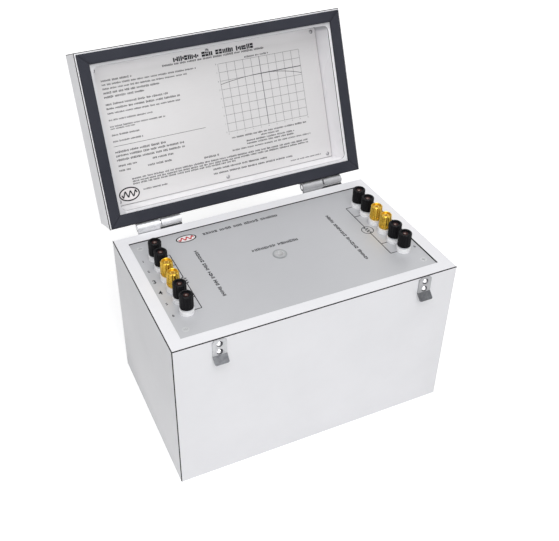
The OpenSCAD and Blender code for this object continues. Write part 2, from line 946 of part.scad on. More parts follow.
module hinge_case_leaves() {
    color(bright_steel)
        difference() {
            for (x = hinges)
                translate([x, 0, 0]) {
                    difference() {
                        union() {
                            translate([-hinge_len / 2, case_d / 2, axis_z - leaf_h])
                                cube([hinge_len, leaf_t, leaf_h - under_knuckle]);
                            translate([-hinge_len / 2, case_d / 2, axis_z - leaf_h])
                                cube([hinge_len / 2, leaf_t, leaf_h - barrel_r + gasket_t]);
                            translate([0, axis_y, axis_z])
                                knuckle(-hinge_len / 2, 0, pin_r);
                        }
                        translate([0, axis_y, axis_z])
                            along_x(-hinge_len / 2 - 1, 1)
                                circle(pin_r);
                    }
                    translate([0, axis_y, axis_z])
                        along_x(0, dog_len)
                            ring_sector(pin_r, dog_start_angle, dog_angle);
                }
            case_screw_holes();
        }
}

module hinge_pins() {
    color([0.8, 0.8, 0.82])
        for (x = hinges)
            translate([0, axis_y, axis_z])
                along_x(x - hinge_len / 2, x + hinge_len / 2 - pin_recess)
                    circle(pin_r);
}

module case_leaf_screws() {
    color(bright_steel)
        at_leaf_screws(-1)
            cross_screw(leaf_head_r, leaf_shank_r, leaf_screw_len);
}

// Drawn shut like the rest of the lid
module hinge_lid_leaves() {
    bore_r = pin_r + pin_clearance;
    start = dog_len + hinge_gap;
    dog_angle_shut = dog_start_angle + dog_angle + dog_gap_angle + open_angle;
    color(bright_steel)
        open_lid()
            difference() {
                for (x = hinges)
                    translate([x, 0, 0]) {
                        difference() {
                            union() {
                                translate([-hinge_len / 2, case_d / 2, axis_z + leaf_h - leaf_flat])
                                    cube([hinge_len, leaf_t, leaf_flat]);
                                translate([start, case_d / 2, axis_z + hinge_gap])
                                    cube([hinge_len / 2 - start, leaf_t, leaf_h - hinge_gap]);
                                translate([0, axis_y, axis_z])
                                    knuckle(start, hinge_len / 2, bore_r);
                            }
                            translate([0, axis_y, axis_z])
                                along_x(start - 1, hinge_len / 2 + 1)
                                    circle(bore_r);
                        }
                        translate([0, axis_y, axis_z])
                            along_x(hinge_gap, start)
                                ring_sector(bore_r, dog_angle_shut, lid_dog_angle);
                    }
                at_leaf_screws(1)
                    screw_shape(leaf_head_r, leaf_shank_r, leaf_screw_len);
            }
}

// Outline of the lip, hanging from its fold, with round lower corners
module lip_outline() {
    translate([-strike_w / 2, strike_lip_r - strike_lip])
        square([strike_w, strike_lip - strike_lip_r]);
    translate([strike_lip_r - strike_w / 2, -strike_lip])
        square([strike_w - 2 * strike_lip_r, strike_lip]);
    for (x = sides)
        translate([x * (strike_w / 2 - strike_lip_r), strike_lip_r - strike_lip])
            circle(strike_lip_r);
}

// Outline of the flat part, with its upper corners cut
module strike_outline() {
    half = strike_w / 2;
    polygon([
        [-half, -strike_h],
        [half, -strike_h],
        [half, -strike_cut],
        [half - strike_cut, 0],
        [strike_cut - half, 0],
        [-half, -strike_cut]
    ]);
}

// Strikes on the front, each with its lip bent out from the case
module strike_plates() {
    color([0.62, 0.63, 0.65])
        difference() {
            for (x = strikes)
                translate([x, -case_d / 2, case_h - strike_drop]) {
                    rotate([90, 0, 0])
                        linear_extrude(strike_t)
                            strike_outline();
                    translate([0, 0, -strike_h])
                        rotate([90 - strike_angle, 0, 0])
                            linear_extrude(strike_t)
                                lip_outline();
                }
            at_rivets()
                rivet_shank();
        }
}

// Round heads on shanks that hold the strikes
module strike_rivets() {
    color(bright_steel)
        at_rivets() {
            dome(rivet_head_r, rivet_head_h);
            rivet_shank();
        }
}

// Lid, each part drawn shut
module lid_top_board() {
    color(board_colour)
        open_lid()
            difference() {
                slab(case_w - 2 * laminate_t, case_d - 2 * laminate_t, lid_board_z, lid_top - laminate_t);
                at_label_screws()
                    pan_screw(label_head_r, label_shank_r, label_shank_len);
            }
}

module lid_rails() {
    color(board_colour)
        open_lid()
            difference() {
                four_boards(case_w - 2 * laminate_t, case_d - 2 * laminate_t, board_t,
                            lid_wall_z, lid_board_z);
                lid_screw_holes();
            }
}

module lid_laminates() {
    color(white_laminate)
        open_lid()
            difference() {
                union() {
                    translate([0, 0, lid_top - laminate_t])
                        flat_sheet(case_w, case_d);
                    for (s = sides)
                        wall_sheet(s, lid_wall_z, lid_sheet_top);
                    for (s = sides)
                        translate([s * (case_w - laminate_t) / 2, 0, 0])
                            slab(laminate_t, case_d - 2 * laminate_t - 2 * glue_t, lid_wall_z, lid_sheet_top);
                }
                lid_screw_holes();
            }
}

module lid_rim_laminate() {
    color(white_laminate)
        open_lid()
            difference() {
                translate([0, 0, lid_wall_z])
                    mirror([0, 0, 1])
                        flat_sheet(case_w, case_d);
                translate([0, 0, lid_rim_z - 1])
                    linear_extrude(laminate_t + 2)
                        rounded_rect(recess_w, recess_d, rim_corner_r);
            }
}

module lid_liner() {
    color(white_laminate)
        open_lid()
            four_boards(inner_w, inner_d, liner_t, lid_wall_z, lid_board_z);
}

module gasket() {
    gasket_out_w = case_w - 2 * gasket_margin;
    gasket_out_d = case_d - 2 * gasket_margin;
    color(foam_black)
        open_lid()
            translate([0, 0, lid_z])
                linear_extrude(gasket_t)
                    difference() {
                        square([gasket_out_w, gasket_out_d], center = true);
                        square([gasket_out_w - 2 * gasket_w, gasket_out_d - 2 * gasket_w], center = true);
                    }
}

module label_plate() {
    color(satin_silver)
        open_lid()
            difference() {
                translate([0, 0, label_z])
                    linear_extrude(label_t)
                        rounded_rect(label_w, label_d, label_corner_r);
                at_label_screws()
                    pan_screw(label_head_r, label_shank_r, label_shank_len);
            }
}

module lid_screws() {
    color(bright_steel)
        open_lid() {
            at_label_screws()
                pan_screw(label_head_r, label_shank_r, label_shank_len);
            at_leaf_screws(1)
                cross_screw(leaf_head_r, leaf_shank_r, leaf_screw_len);
        }
}

case_boards();
bottom_board();
front_laminate();
back_laminate();
end_laminates();
rim_laminate();
panel_cleats();
instrument_panel();
panel_screws();
well_grommet();
well_tube();
post_studs();
post_insulators();
post_nuts();
solder_lugs();
resistor_can();
can_cover();
resistor_cards();
temperature_sensor();
can_standoffs();
foam_cradle();
lead_wires();
hinge_case_leaves();
hinge_pins();
case_leaf_screws();
strike_plates();
strike_rivets();
lid_top_board();
lid_rails();
lid_laminates();
lid_rim_laminate();
lid_liner();
gasket();
label_plate();
lid_screws();
hinge_lid_leaves();
clamp_ring(-1, 1);  // clamp_left_1
clamp_ring(-1, 2);  // clamp_left_2
clamp_ring(-1, 3);  // clamp_left_3
clamp_ring(-1, 4);  // clamp_left_4
clamp_ring(-1, 5);  // clamp_left_5
clamp_ring(-1, 6);  // clamp_left_6
clamp_ring(1, 1);  // clamp_right_1
clamp_ring(1, 2);  // clamp_right_2
clamp_ring(1, 3);  // clamp_right_3
clamp_ring(1, 4);  // clamp_right_4
clamp_ring(1, 5);  // clamp_right_5
clamp_ring(1, 6);  // clamp_right_6
knob(-1, 1);  // knob_left_1
knob(-1, 2);  // knob_left_2
knob(-1, 3);  // knob_left_3
knob(-1, 4);  // knob_left_4
knob(-1, 5);  // knob_left_5
knob(-1, 6);  // knob_left_6
knob(1, 1);  // knob_right_1
knob(1, 2);  // knob_right_2
knob(1, 3);  // knob_right_3
knob(1, 4);  // knob_right_4
knob(1, 5);  // knob_right_5
knob(1, 6);  // knob_right_6
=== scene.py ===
import json
import math
import random

import bmesh
import bpy
from mathutils import Matrix, Vector


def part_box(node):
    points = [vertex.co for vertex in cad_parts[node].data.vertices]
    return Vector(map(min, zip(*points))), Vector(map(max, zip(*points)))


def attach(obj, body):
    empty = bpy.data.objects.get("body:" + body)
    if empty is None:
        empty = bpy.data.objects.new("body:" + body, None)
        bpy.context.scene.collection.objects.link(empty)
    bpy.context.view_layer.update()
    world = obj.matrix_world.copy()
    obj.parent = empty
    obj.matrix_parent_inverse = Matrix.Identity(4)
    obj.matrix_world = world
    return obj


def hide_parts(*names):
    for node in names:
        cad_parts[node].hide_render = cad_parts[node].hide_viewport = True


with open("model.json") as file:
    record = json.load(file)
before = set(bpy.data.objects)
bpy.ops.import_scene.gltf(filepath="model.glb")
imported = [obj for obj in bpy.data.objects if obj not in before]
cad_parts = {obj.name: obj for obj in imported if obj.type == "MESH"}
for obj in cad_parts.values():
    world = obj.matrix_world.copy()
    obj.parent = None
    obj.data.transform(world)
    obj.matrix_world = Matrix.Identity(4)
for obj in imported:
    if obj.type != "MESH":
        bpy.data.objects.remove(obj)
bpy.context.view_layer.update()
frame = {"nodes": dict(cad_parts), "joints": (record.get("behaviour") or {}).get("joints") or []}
nodes = frame["nodes"]
MM = 0.001

# Camera, found from the edges of the case and the lid in the photograph
IMAGE_W = 559
IMAGE_H = 541
CAMERA_AT = Vector((-0.3112, -0.6124, 0.6988))
CAMERA_AZIMUTH = math.radians(-22.06)
CAMERA_ELEVATION = math.radians(35.02)
CAMERA_ROLL = math.radians(-1.353)
FOCAL_PX = 793.9
FACED_PX = (225, 230)

# Directions of the shared frame
TO_RIGHT = (1, 0, 0)
TO_BACK = (0, 1, 0)
UPWARDS = (0, 0, 1)

# How far printing stands proud of what it is printed on
INK_T = 0.04 * MM

# The lid is drawn shut and swung open about the hinge axis
HINGE = next(joint for joint in frame["joints"] if joint["name"] == "lid_hinge")
HINGE_AT = Vector(HINGE["pos_m"])
OPEN_ANGLE = math.radians(HINGE["range_deg"][1])
OPEN_LID = (
    Matrix.Translation(HINGE_AT)
    @ Matrix.Rotation(-OPEN_ANGLE, 4, "X")
    @ Matrix.Translation(-HINGE_AT)
)
SHUT_LID = OPEN_LID.inverted()

# Up, to the back and the origin of the shut lid, as they lie when it is open
LID_UP = OPEN_LID.to_3x3() @ Vector((0, 0, 1))
LID_BACK = OPEN_LID.to_3x3() @ Vector((0, 1, 0))
LID_ZERO = OPEN_LID @ Vector((0, 0, 0))


def shut_box(node):
    """Lowest and highest corner of one of the lid's nodes with the lid shut."""
    points = [SHUT_LID @ v.co for v in nodes[node].data.vertices]
    low = Vector([min(p[k] for p in points) for k in range(3)])
    high = Vector([max(p[k] for p in points) for k in range(3)])
    return low, high


# Camera, light and stage

WORLD_TINT = (0.98, 0.985, 1.0, 1)
WORLD_STRENGTH = 0.2
FLOOR_HALF = 6.0

# The floor's glow near and far, and the distances from the middle between which it grows
FLOOR_GLOW = (0.5, 0.8)
FLOOR_GLOW_AT = (0.4, 1.2)


def make_camera():
    back = Vector((
        math.sin(CAMERA_AZIMUTH) * math.cos(CAMERA_ELEVATION),
        -math.cos(CAMERA_AZIMUTH) * math.cos(CAMERA_ELEVATION),
        math.sin(CAMERA_ELEVATION),
    ))
    right = Vector((0, 0, 1)).cross(back).normalized()
    up = back.cross(right)
    turn = Matrix((right, up, back)).transposed().to_4x4()
    data = bpy.data.cameras.new("camera")
    data.lens = FOCAL_PX / IMAGE_W * data.sensor_width
    data.shift_x = (IMAGE_W / 2 - FACED_PX[0]) / IMAGE_W
    data.shift_y = (FACED_PX[1] - IMAGE_H / 2) / IMAGE_W
    camera = bpy.data.objects.new("camera", data)
    camera.matrix_world = Matrix.Translation(CAMERA_AT) @ turn @ Matrix.Rotation(CAMERA_ROLL, 4, "Z")
    bpy.context.scene.collection.objects.link(camera)
    bpy.context.scene.camera = camera


def area_light(name, place, target, size, energy):
    data = bpy.data.lights.new(name, "AREA")
    data.shape = "RECTANGLE"
    data.size = size[0]
    data.size_y = size[1]
    data.energy = energy
    lamp = bpy.data.objects.new(name, data)
    lamp.location = place
    lamp.rotation_mode = "QUATERNION"
    lamp.rotation_quaternion = (Vector(target) - Vector(place)).to_track_quat("-Z", "Y")
    bpy.context.scene.collection.objects.link(lamp)


def make_world():
    """Even light all round; what the camera, metal and glass see of it is white."""
    world = bpy.data.worlds.new("studio")
    bpy.context.scene.world = world
    world.use_nodes = True
    tree = world.node_tree
    tree.nodes.clear()
    path = tree.nodes.new("ShaderNodeLightPath")
    seen = path.outputs["Is Camera Ray"]
    for ray in ("Is Transmission Ray", "Is Glossy Ray"):
        either = tree.nodes.new("ShaderNodeMath")
        either.operation = "MAXIMUM"
        tree.links.new(seen, either.inputs[0])
        tree.links.new(path.outputs[ray], either.inputs[1])
        seen = either.outputs[0]
    light = tree.nodes.new("ShaderNodeBackground")
    light.inputs["Color"].default_value = WORLD_TINT
    light.inputs["Strength"].default_value = WORLD_STRENGTH
    white = tree.nodes.new("ShaderNodeBackground")
    white.inputs["Color"].default_value = (1, 1, 1, 1)
    white.inputs["Strength"].default_value = 1.0
    mix = tree.nodes.new("ShaderNodeMixShader")
    tree.links.new(seen, mix.inputs["Fac"])
    tree.links.new(light.outputs[0], mix.inputs[1])
    tree.links.new(white.outputs[0], mix.inputs[2])
    out = tree.nodes.new("ShaderNodeOutputWorld")
    tree.links.new(mix.outputs[0], out.inputs["Surface"])


def make_stage():
    """White floor that keeps the object's shadow; it looks a little brighter than it lights."""
    bm = bmesh.new()
    corners = [(-1, -1), (1, -1), (1, 1), (-1, 1)]
    bm.faces.new([bm.verts.new((x * FLOOR_HALF, y * FLOOR_HALF, 0)) for x, y in corners])
    mesh = bpy.data.meshes.new("floor")
    bm.to_mesh(mesh)
    bm.free()
    floor = bpy.data.objects.new("floor", mesh)
    bpy.context.scene.collection.objects.link(floor)
    paint = Finish("floor_white", (0.79, 0.79, 0.79), roughness=0.9)
    paint.set("Base Color", paint.mix(paint.noise(3, detail=4), (0.78, 0.78, 0.78), (0.8, 0.8, 0.8)))
    path = paint.node("ShaderNodeLightPath")
    seen = paint.math("MAXIMUM", path.outputs["Is Camera Ray"], path.outputs["Is Transmission Ray"])
    seen = paint.math("MAXIMUM", seen, path.outputs["Is Glossy Ray"])
    paint.shader.inputs["Emission Color"].default_value = (1, 1, 1, 1)
    away = paint.node("ShaderNodeVectorMath", operation="LENGTH")
    paint.feed(away.inputs[0], paint.place.outputs["Object"])
    glow = paint.remap(away.outputs["Value"], *FLOOR_GLOW_AT, *FLOOR_GLOW)
    paint.set("Emission Strength", paint.math("MULTIPLY", seen, glow))
    mesh.materials.append(paint.material)


# Materials

def times(colour, factor):
    return tuple(factor * c for c in colour)


class Finish:
    """One procedural material around a Principled shader, with short names for the nodes it uses."""

    def __init__(self, name, colour, roughness=0.5, metallic=0.0, **constants):
        self.material = bpy.data.materials.new(name)
        self.material.use_nodes = True
        self.tree = self.material.node_tree
        self.shader = self.tree.nodes["Principled BSDF"]
        self.shader.inputs["Base Color"].default_value = (*colour, 1)
        self.shader.inputs["Roughness"].default_value = roughness
        self.shader.inputs["Metallic"].default_value = metallic
        for key, value in constants.items():
            self.shader.inputs[key.replace("_", " ")].default_value = value
        self.place = self.tree.nodes.new("ShaderNodeTexCoord")

    def node(self, kind, **settings):
        made = self.tree.nodes.new(kind)
        for key, value in settings.items():
            setattr(made, key, value)
        return made

    def feed(self, socket, value):
        """Puts a number, a colour or another node's output on a socket."""
        if isinstance(value, bpy.types.NodeSocket):
            self.tree.links.new(value, socket)
        elif isinstance(value, tuple) and len(value) == 3 and socket.type == "RGBA":
            socket.default_value = (*value, 1)
        else:
            socket.default_value = value

    def set(self, name, value):
        self.feed(self.shader.inputs[name], value)

    def point(self, stretch=(1, 1, 1), turn=(0, 0, 0)):
        mapping = self.node("ShaderNodeMapping")
        mapping.inputs["Scale"].default_value = stretch
        mapping.inputs["Rotation"].default_value = turn
        self.tree.links.new(self.place.outputs["Object"], mapping.inputs["Vector"])
        return mapping.outputs["Vector"]

    def noise(self, scale, detail=3, rough=0.5, stretch=(1, 1, 1), turn=(0, 0, 0)):
        made = self.node("ShaderNodeTexNoise")
        self.feed(made.inputs["Vector"], self.point(stretch, turn))
        made.inputs["Scale"].default_value = scale
        made.inputs["Detail"].default_value = detail
        made.inputs["Roughness"].default_value = rough
        return made.outputs["Fac"]

    def cells(self, scale, feature="F1", stretch=(1, 1, 1)):
        made = self.node("ShaderNodeTexVoronoi", feature=feature)
        self.feed(made.inputs["Vector"], self.point(stretch))
        made.inputs["Scale"].default_value = scale
        return made.outputs["Distance"]

    def remap(self, value, low, high, to_low=0.0, to_high=1.0):
        made = self.node("ShaderNodeMapRange")
        for name, number in (
            ("From Min", low), ("From Max", high), ("To Min", to_low), ("To Max", to_high),
        ):
            made.inputs[name].default_value = number
        self.feed(made.inputs["Value"], value)
        return made.outputs["Result"]

    def math(self, operation, a, b=0.0):
        made = self.node("ShaderNodeMath", operation=operation)
        self.feed(made.inputs[0], a)
        self.feed(made.inputs[1], b)
        return made.outputs[0]

    def between(self, value, low, high):
        """One where a value lies between two limits, and nought elsewhere."""
        above = self.math("GREATER_THAN", value, low)
        return self.math("MULTIPLY", above, self.math("LESS_THAN", value, high))

    def along(self, direction, source="Object"):
        """How far a point lies along a direction, or how much its normal faces that way."""
        made = self.node("ShaderNodeVectorMath", operation="DOT_PRODUCT")
        self.feed(made.inputs[0], self.place.outputs[source])
        made.inputs[1].default_value = direction
        return made.outputs["Value"]

    def mix(self, factor, a, b):
        made = self.node("ShaderNodeMix", data_type="RGBA")
        self.feed(made.inputs["Factor"], factor)
        self.feed(made.inputs[6], a)
        self.feed(made.inputs[7], b)
        return made.outputs[2]

    def bump(self, height, strength, distance):
        made = self.node("ShaderNodeBump")
        made.inputs["Strength"].default_value = strength
        made.inputs["Distance"].default_value = distance
        self.feed(made.inputs["Height"], height)
        if self.shader.inputs["Normal"].links:
            self.feed(made.inputs["Normal"], self.shader.inputs["Normal"].links[0].from_socket)
        self.set("Normal", made.outputs["Normal"])

    def edge_wear(self, colour, worn, radius, amount):
        """Lighter or darker metal where an edge has been rubbed."""
        bevel = self.node("ShaderNodeBevel", samples=4)
        bevel.inputs["Radius"].default_value = radius
        geometry = self.node("ShaderNodeNewGeometry")
        bent = self.node("ShaderNodeVectorMath", operation="DOT_PRODUCT")
        self.feed(bent.inputs[0], bevel.outputs["Normal"])
        self.feed(bent.inputs[1], geometry.outputs["Normal"])
        rubbed = self.remap(bent.outputs["Value"], 0.995, 0.8, 0.0, amount)
        patchy = self.math("MULTIPLY", rubbed, self.remap(self.noise(900), 0.35, 0.65))
        return self.mix(patchy, colour, worn)


LAMINATE_WHITE = (0.825, 0.825, 0.85)
LAMINATE_CORE = (0.01, 0.008, 0.009)
LINING_WHITE = (0.94, 0.93, 0.95)
# Grey of the painted shade on the left and upper lip of the lid's opening
LIP_SHADE_GREY = (0.6, 0.6, 0.62)
# Black of the painted shade in the gaps round the panel
GAP_SHADE_BLACK = (0.02, 0.02, 0.022)
HINGE_ZINC = (0.78, 0.785, 0.81)
LIP_W = 6 * MM
LIP_FADE = 3 * MM
LABEL_FADE = 12 * MM
PANEL_GAP = 0.4 * MM
GLUE_LINE = 0.6 * MM
HINGE_LEN = 52 * MM
STRIKE_FLAT_H = 18.8 * MM
SOCKET_R = 2.15 * MM
GROMMET_RING_R = 6.3 * MM


def laminate_face(made, tone=1.0):
    """White of a laminate's decorative face, with its faint mottling and fine texture."""
    mottle = made.noise(14, detail=6, rough=0.6)
    smudge = made.noise(5, detail=3, stretch=(1, 1, 2.2))
    scuff = made.noise(60, detail=5, rough=0.7, stretch=(1, 1, 6))
    made.set("Roughness", made.remap(smudge, 0.3, 0.7, 0.3, 0.42))
    made.bump(made.cells(1500, feature="SMOOTH_F1"), 0.12, 0.05 * MM)
    made.bump(scuff, 0.03, 0.05 * MM)
    low = times(LAMINATE_WHITE, 0.965 * tone)
    high = times(LAMINATE_WHITE, tone)
    return made.mix(made.remap(mottle, 0.35, 0.65), low, high)


def laminate_core(made):
    """Brown of the paper core along a laminate's edge, with painted shade that makes it darker where the
    edge looks to a side.
    """
    layers = made.noise(700, detail=2, stretch=(1, 1, 5))
    tone = made.mix(layers, LAMINATE_CORE, times(LAMINATE_CORE, 1.9))
    # Painted shade: edges that face to the sides are darkened further.
    sideways = made.math("ABSOLUTE", made.along(TO_RIGHT, "Normal"))
    return made.mix(made.math("GREATER_THAN", sideways, 0.5), tone, times(LAMINATE_CORE, 0.35))


def shut_y(made):
    """Distance to the back of a point of the open lid, as it is when the lid is shut."""
    return made.math("SUBTRACT", made.along(LID_BACK), LID_BACK.dot(LID_ZERO))


def greyed_lip(made):
    """Painted shade on the left and the upper edge of the lid's opening, which lie in the shade of the
    lid's edge.
    """
    low = shut_box("lid_liner")[0]
    x = made.along(TO_RIGHT)
    y = shut_y(made)
    slack = 0.5 * MM
    inside = made.math("GREATER_THAN", x, low.x - slack)
    inside = made.math("MULTIPLY", inside, made.math("GREATER_THAN", y, low.y - slack))
    left = made.remap(x, low.x + LIP_W, low.x + LIP_W + LIP_FADE, 1.0, 0.0)
    upper = made.remap(y, low.y + LIP_W, low.y + LIP_W + LIP_FADE, 1.0, 0.0)
    return made.math("MULTIPLY", inside, made.math("MAXIMUM", left, upper))


def end_marks(made):
    """Dark line of glue along the upper and the front edge of the end sheets, with painted shade that
    darkens them towards the back.
    """
    low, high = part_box("end_laminates")
    y = made.along(TO_BACK)
    upper = made.remap(made.along(UPWARDS), high.z - GLUE_LINE, high.z - 0.8 * GLUE_LINE)
    front = made.remap(y, low.y + 0.8 * GLUE_LINE, low.y + GLUE_LINE, 1.0, 0.0)
    # Painted shade: up to 9 percent darker towards the back.
    shade_to_back = made.remap(y, low.y, high.y, 0.0, 0.09)
    return made.math("MAXIMUM", shade_to_back, made.math("MAXIMUM", upper, front))


def laminate(name, axis, tone=1.0, spot=None, spot_colour=None):
    """Laminate sheet whose faces look along an axis, with dark edges all round."""
    made = Finish(name, LAMINATE_WHITE, 0.35)
    facing = made.math("ABSOLUTE", made.along(axis, "Normal"))
    edge = made.math("LESS_THAN", facing, 0.9)
    face = laminate_face(made, tone)
    if spot:
        face = made.mix(spot(made), face, spot_colour)
    made.set("Base Color", made.mix(edge, face, laminate_core(made)))
    made.set("Specular IOR Level", made.remap(edge, 0, 1, 0.5, 0.1))
    return made.material


def lid_laminate(name):
    """Laminate of the lid: the top sheet shows its core all round, and the long sheets at their ends."""
    high = shut_box("lid_laminates")[1]
    sheet_t = laminate_t()
    made = Finish(name, LAMINATE_WHITE, 0.35)
    top_z = high.z - sheet_t + LID_UP.dot(LID_ZERO)
    top_edge = made.math("GREATER_THAN", made.along(LID_UP), top_z)
    sideways = made.math("LESS_THAN", made.math("ABSOLUTE", made.along(LID_UP, "Normal")), 0.9)
    from_middle = made.math("ABSOLUTE", shut_y(made))
    sheet_end = made.math("GREATER_THAN", from_middle, high.y - sheet_t)
    endways = made.math("GREATER_THAN", made.math("ABSOLUTE", made.along(TO_RIGHT, "Normal")), 0.5)
    top_edge = made.math("MULTIPLY", top_edge, sideways)
    sheet_end = made.math("MULTIPLY", sheet_end, endways)
    edge = made.math("MAXIMUM", top_edge, sheet_end)
    made.set("Base Color", made.mix(edge, laminate_face(made), laminate_core(made)))
    made.set("Specular IOR Level", made.remap(edge, 0, 1, 0.5, 0.1))
    return made.material


def lid_lining():
    """White lining of the lid's walls, with a dark line of glue under the rim's laminate."""
    made = Finish("lid_lining", LINING_WHITE, 0.25)
    mottle = made.noise(14, detail=6, rough=0.6)
    white = made.mix(made.remap(mottle, 0.35, 0.65), times(LINING_WHITE, 0.97), LINING_WHITE)
    edge_z = shut_box("lid_liner")[0].z + LID_UP.dot(LID_ZERO)
    glued = made.remap(made.along(LID_UP), edge_z + 0.5 * MM, edge_z + 0.9 * MM, 1.0, 0.0)
    # Painted shade on the lining's left and upper walls, near the lid's edge.
    white = made.mix(greyed_lip(made), white, LIP_SHADE_GREY)
    made.set("Base Color", made.mix(glued, white, LAMINATE_CORE))
    made.set("Roughness", made.remap(made.noise(5), 0.3, 0.7, 0.2, 0.32))
    made.bump(made.cells(1500, feature="SMOOTH_F1"), 0.1, 0.05 * MM)
    return made.material


def laminate_t():
    low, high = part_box("rim_laminate")
    return high.z - low.z


def board():
    """Light plywood for the boards under the laminate, black as painted shade where the panel's edge
    lies.
    """
    made = Finish("birch_board", (0.55, 0.42, 0.27), 0.7)
    grain = made.noise(40, detail=8, rough=0.65, stretch=(1, 9, 9))
    plies = made.node("ShaderNodeTexWave", wave_type="BANDS", bands_direction="Y")
    made.feed(plies.inputs["Vector"], made.point())
    plies.inputs["Scale"].default_value = 110
    plies.inputs["Distortion"].default_value = 1.5
    tone = made.mix(grain, (0.46, 0.32, 0.19), (0.66, 0.53, 0.37))
    tone = made.mix(made.remap(plies.outputs["Fac"], 0.4, 0.6, 0, 0.3), tone, (0.36, 0.24, 0.13))
    # Painted shade: a black band in the gap round the panel's edge.
    painted = made.between(made.along(UPWARDS), PANEL_TOP - 2 * MM, PANEL_TOP + 2 * MM)
    made.set("Base Color", made.mix(painted, tone, GAP_SHADE_BLACK))
    made.set("Roughness", made.remap(grain, 0.3, 0.7, 0.6, 0.8))
    made.bump(grain, 0.3, 0.2 * MM)
    return made.material


def painted_board():
    """Board of the lid's top, painted grey, with its grain showing through."""
    made = Finish("painted_board", (0.25, 0.25, 0.26), 0.6)
    grain = made.noise(40, detail=8, rough=0.65, stretch=(1, 9, 9))
    made.set("Base Color", made.mix(grain, (0.2, 0.2, 0.21), (0.28, 0.28, 0.29)))
    made.set("Roughness", made.remap(grain, 0.3, 0.7, 0.5, 0.7))
    made.bump(grain, 0.2, 0.2 * MM)
    return made.material


def satin_sheet(name, colour, roughness, metallic, spot=None, spot_colour=None):
    """Satin sheet metal with a fine grain along X; spot says where another colour lies."""
    made = Finish(name, colour, roughness, metallic)
    grain = made.noise(90, detail=6, rough=0.75, stretch=(1, 26, 26))
    cloud = made.noise(7, detail=3)
    low = times(colour, 0.93)
    blend = made.math("ADD", made.math("MULTIPLY", grain, 0.55), made.math("MULTIPLY", cloud, 0.45))
    tone = made.mix(made.remap(blend, 0.38, 0.62), low, colour)
    if spot:
        tone = made.mix(spot(made), tone, spot_colour)
    made.set("Base Color", tone)
    made.set("Roughness", made.remap(grain, 0.3, 0.7, roughness - 0.05, roughness + 0.06))
    made.bump(grain, 0.04, 0.05 * MM)
    return made.material


def label_edge(made):
    """Painted light along the label's upper edge, which makes it a little paler."""
    edge_y = shut_box("label_plate")[0].y
    return made.remap(shut_y(made), edge_y, edge_y + LABEL_FADE, 1.0, 0.0)


def panel_edge(made):
    """Painted shade in the narrow gap along the panel's right edge."""
    edge_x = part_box("instrument_panel")[1].x
    return made.remap(made.along(TO_RIGHT), edge_x - PANEL_GAP - 0.1 * MM, edge_x - PANEL_GAP)


def under_knuckles(made):
    """Painted shade where the case leaf's upper edge lies under the lid's knuckle."""
    rim_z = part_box("rim_laminate")[1].z
    pins_low, pins_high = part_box("hinge_pins")
    right_middle = pins_high.x - HINGE_LEN / 2
    left_middle = pins_low.x + HINGE_LEN / 2
    x = made.along(TO_RIGHT)
    on_left = made.between(x, left_middle, 0.0)
    on_side = made.math("MAXIMUM", on_left, made.math("GREATER_THAN", x, right_middle))
    near_rim = made.between(made.along(UPWARDS), rim_z - 3 * MM, rim_z + 0.8 * MM)
    return made.math("MULTIPLY", on_side, near_rim)


def zinc_plate(name, colour, roughness, gap_shaded):
    """Plated steel of the hinges, a little cloudy, with rubbed edges and painted shade on the knuckles'
    end faces; the right one is darker.
    """
    made = Finish(name, colour, roughness, 0.4)
    cloud = made.noise(120, detail=6, rough=0.65)
    spangle = made.cells(420)
    tone = made.mix(made.remap(cloud, 0.35, 0.65), times(colour, 0.8), colour)
    tone = made.mix(made.remap(spangle, 0.2, 0.8, 0, 0.25), tone, times(colour, 0.62))
    dull = made.math("GREATER_THAN", made.along(TO_RIGHT), 0.0)
    tone = made.mix(made.math("MULTIPLY", dull, 0.6), tone, times(colour, 0.3))
    # Painted shade: the knuckles' end faces, in the seams, are nearly black.
    end_face = made.math("GREATER_THAN", made.math("ABSOLUTE", made.along(TO_RIGHT, "Normal")), 0.8)
    tone = made.mix(made.math("MULTIPLY", end_face, 0.75), tone, (0.03, 0.03, 0.034))
    bright = tuple(min(1.0, 1.25 * c) for c in colour)
    rubbed = made.edge_wear(tone, bright, 0.35 * MM, 0.7)
    # Painted shade on the case leaf under the lid's knuckles.
    if gap_shaded:
        rubbed = made.mix(under_knuckles(made), rubbed, (0.07, 0.07, 0.075))
    made.set("Base Color", rubbed)
    made.set("Roughness", made.remap(cloud, 0.3, 0.7, roughness - 0.06, roughness + 0.1))
    made.bump(cloud, 0.08, 0.1 * MM)
    return made.material


def strike_plate():
    """Plated strike, pale where flat and, as painted shade, dark on the lip that is bent out; the right
    one is darker.
    """
    made = Finish("strike_zinc", (0.5, 0.5, 0.52), 0.38, 0.85)
    cloud = made.noise(260, detail=6, rough=0.7)
    scratch = made.noise(200, detail=4, rough=0.6, stretch=(1, 1, 0.12))
    flat = made.mix(made.remap(cloud, 0.3, 0.7), (0.42, 0.425, 0.44), (0.56, 0.565, 0.58))
    dull = made.math("GREATER_THAN", made.along(TO_RIGHT), 0.0)
    flat = made.mix(made.math("MULTIPLY", dull, 0.4), flat, (0.2, 0.2, 0.21))
    # Painted shade: the bent-out lip is a much darker copy of the plate's metal.
    lip = made.mix(made.remap(cloud, 0.35, 0.65), (0.09, 0.092, 0.1), (0.16, 0.165, 0.175))
    fold_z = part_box("strike_plates")[1].z - STRIKE_FLAT_H
    below_fold = made.math("LESS_THAN", made.along(UPWARDS), fold_z)
    tone = made.mix(below_fold, flat, lip)
    made.set("Base Color", made.edge_wear(tone, (0.72, 0.73, 0.75), 0.3 * MM, 0.5))
    made.set("Roughness", made.remap(scratch, 0.3, 0.7, 0.3, 0.46))
    made.bump(cloud, 0.12, 0.1 * MM)
    return made.material


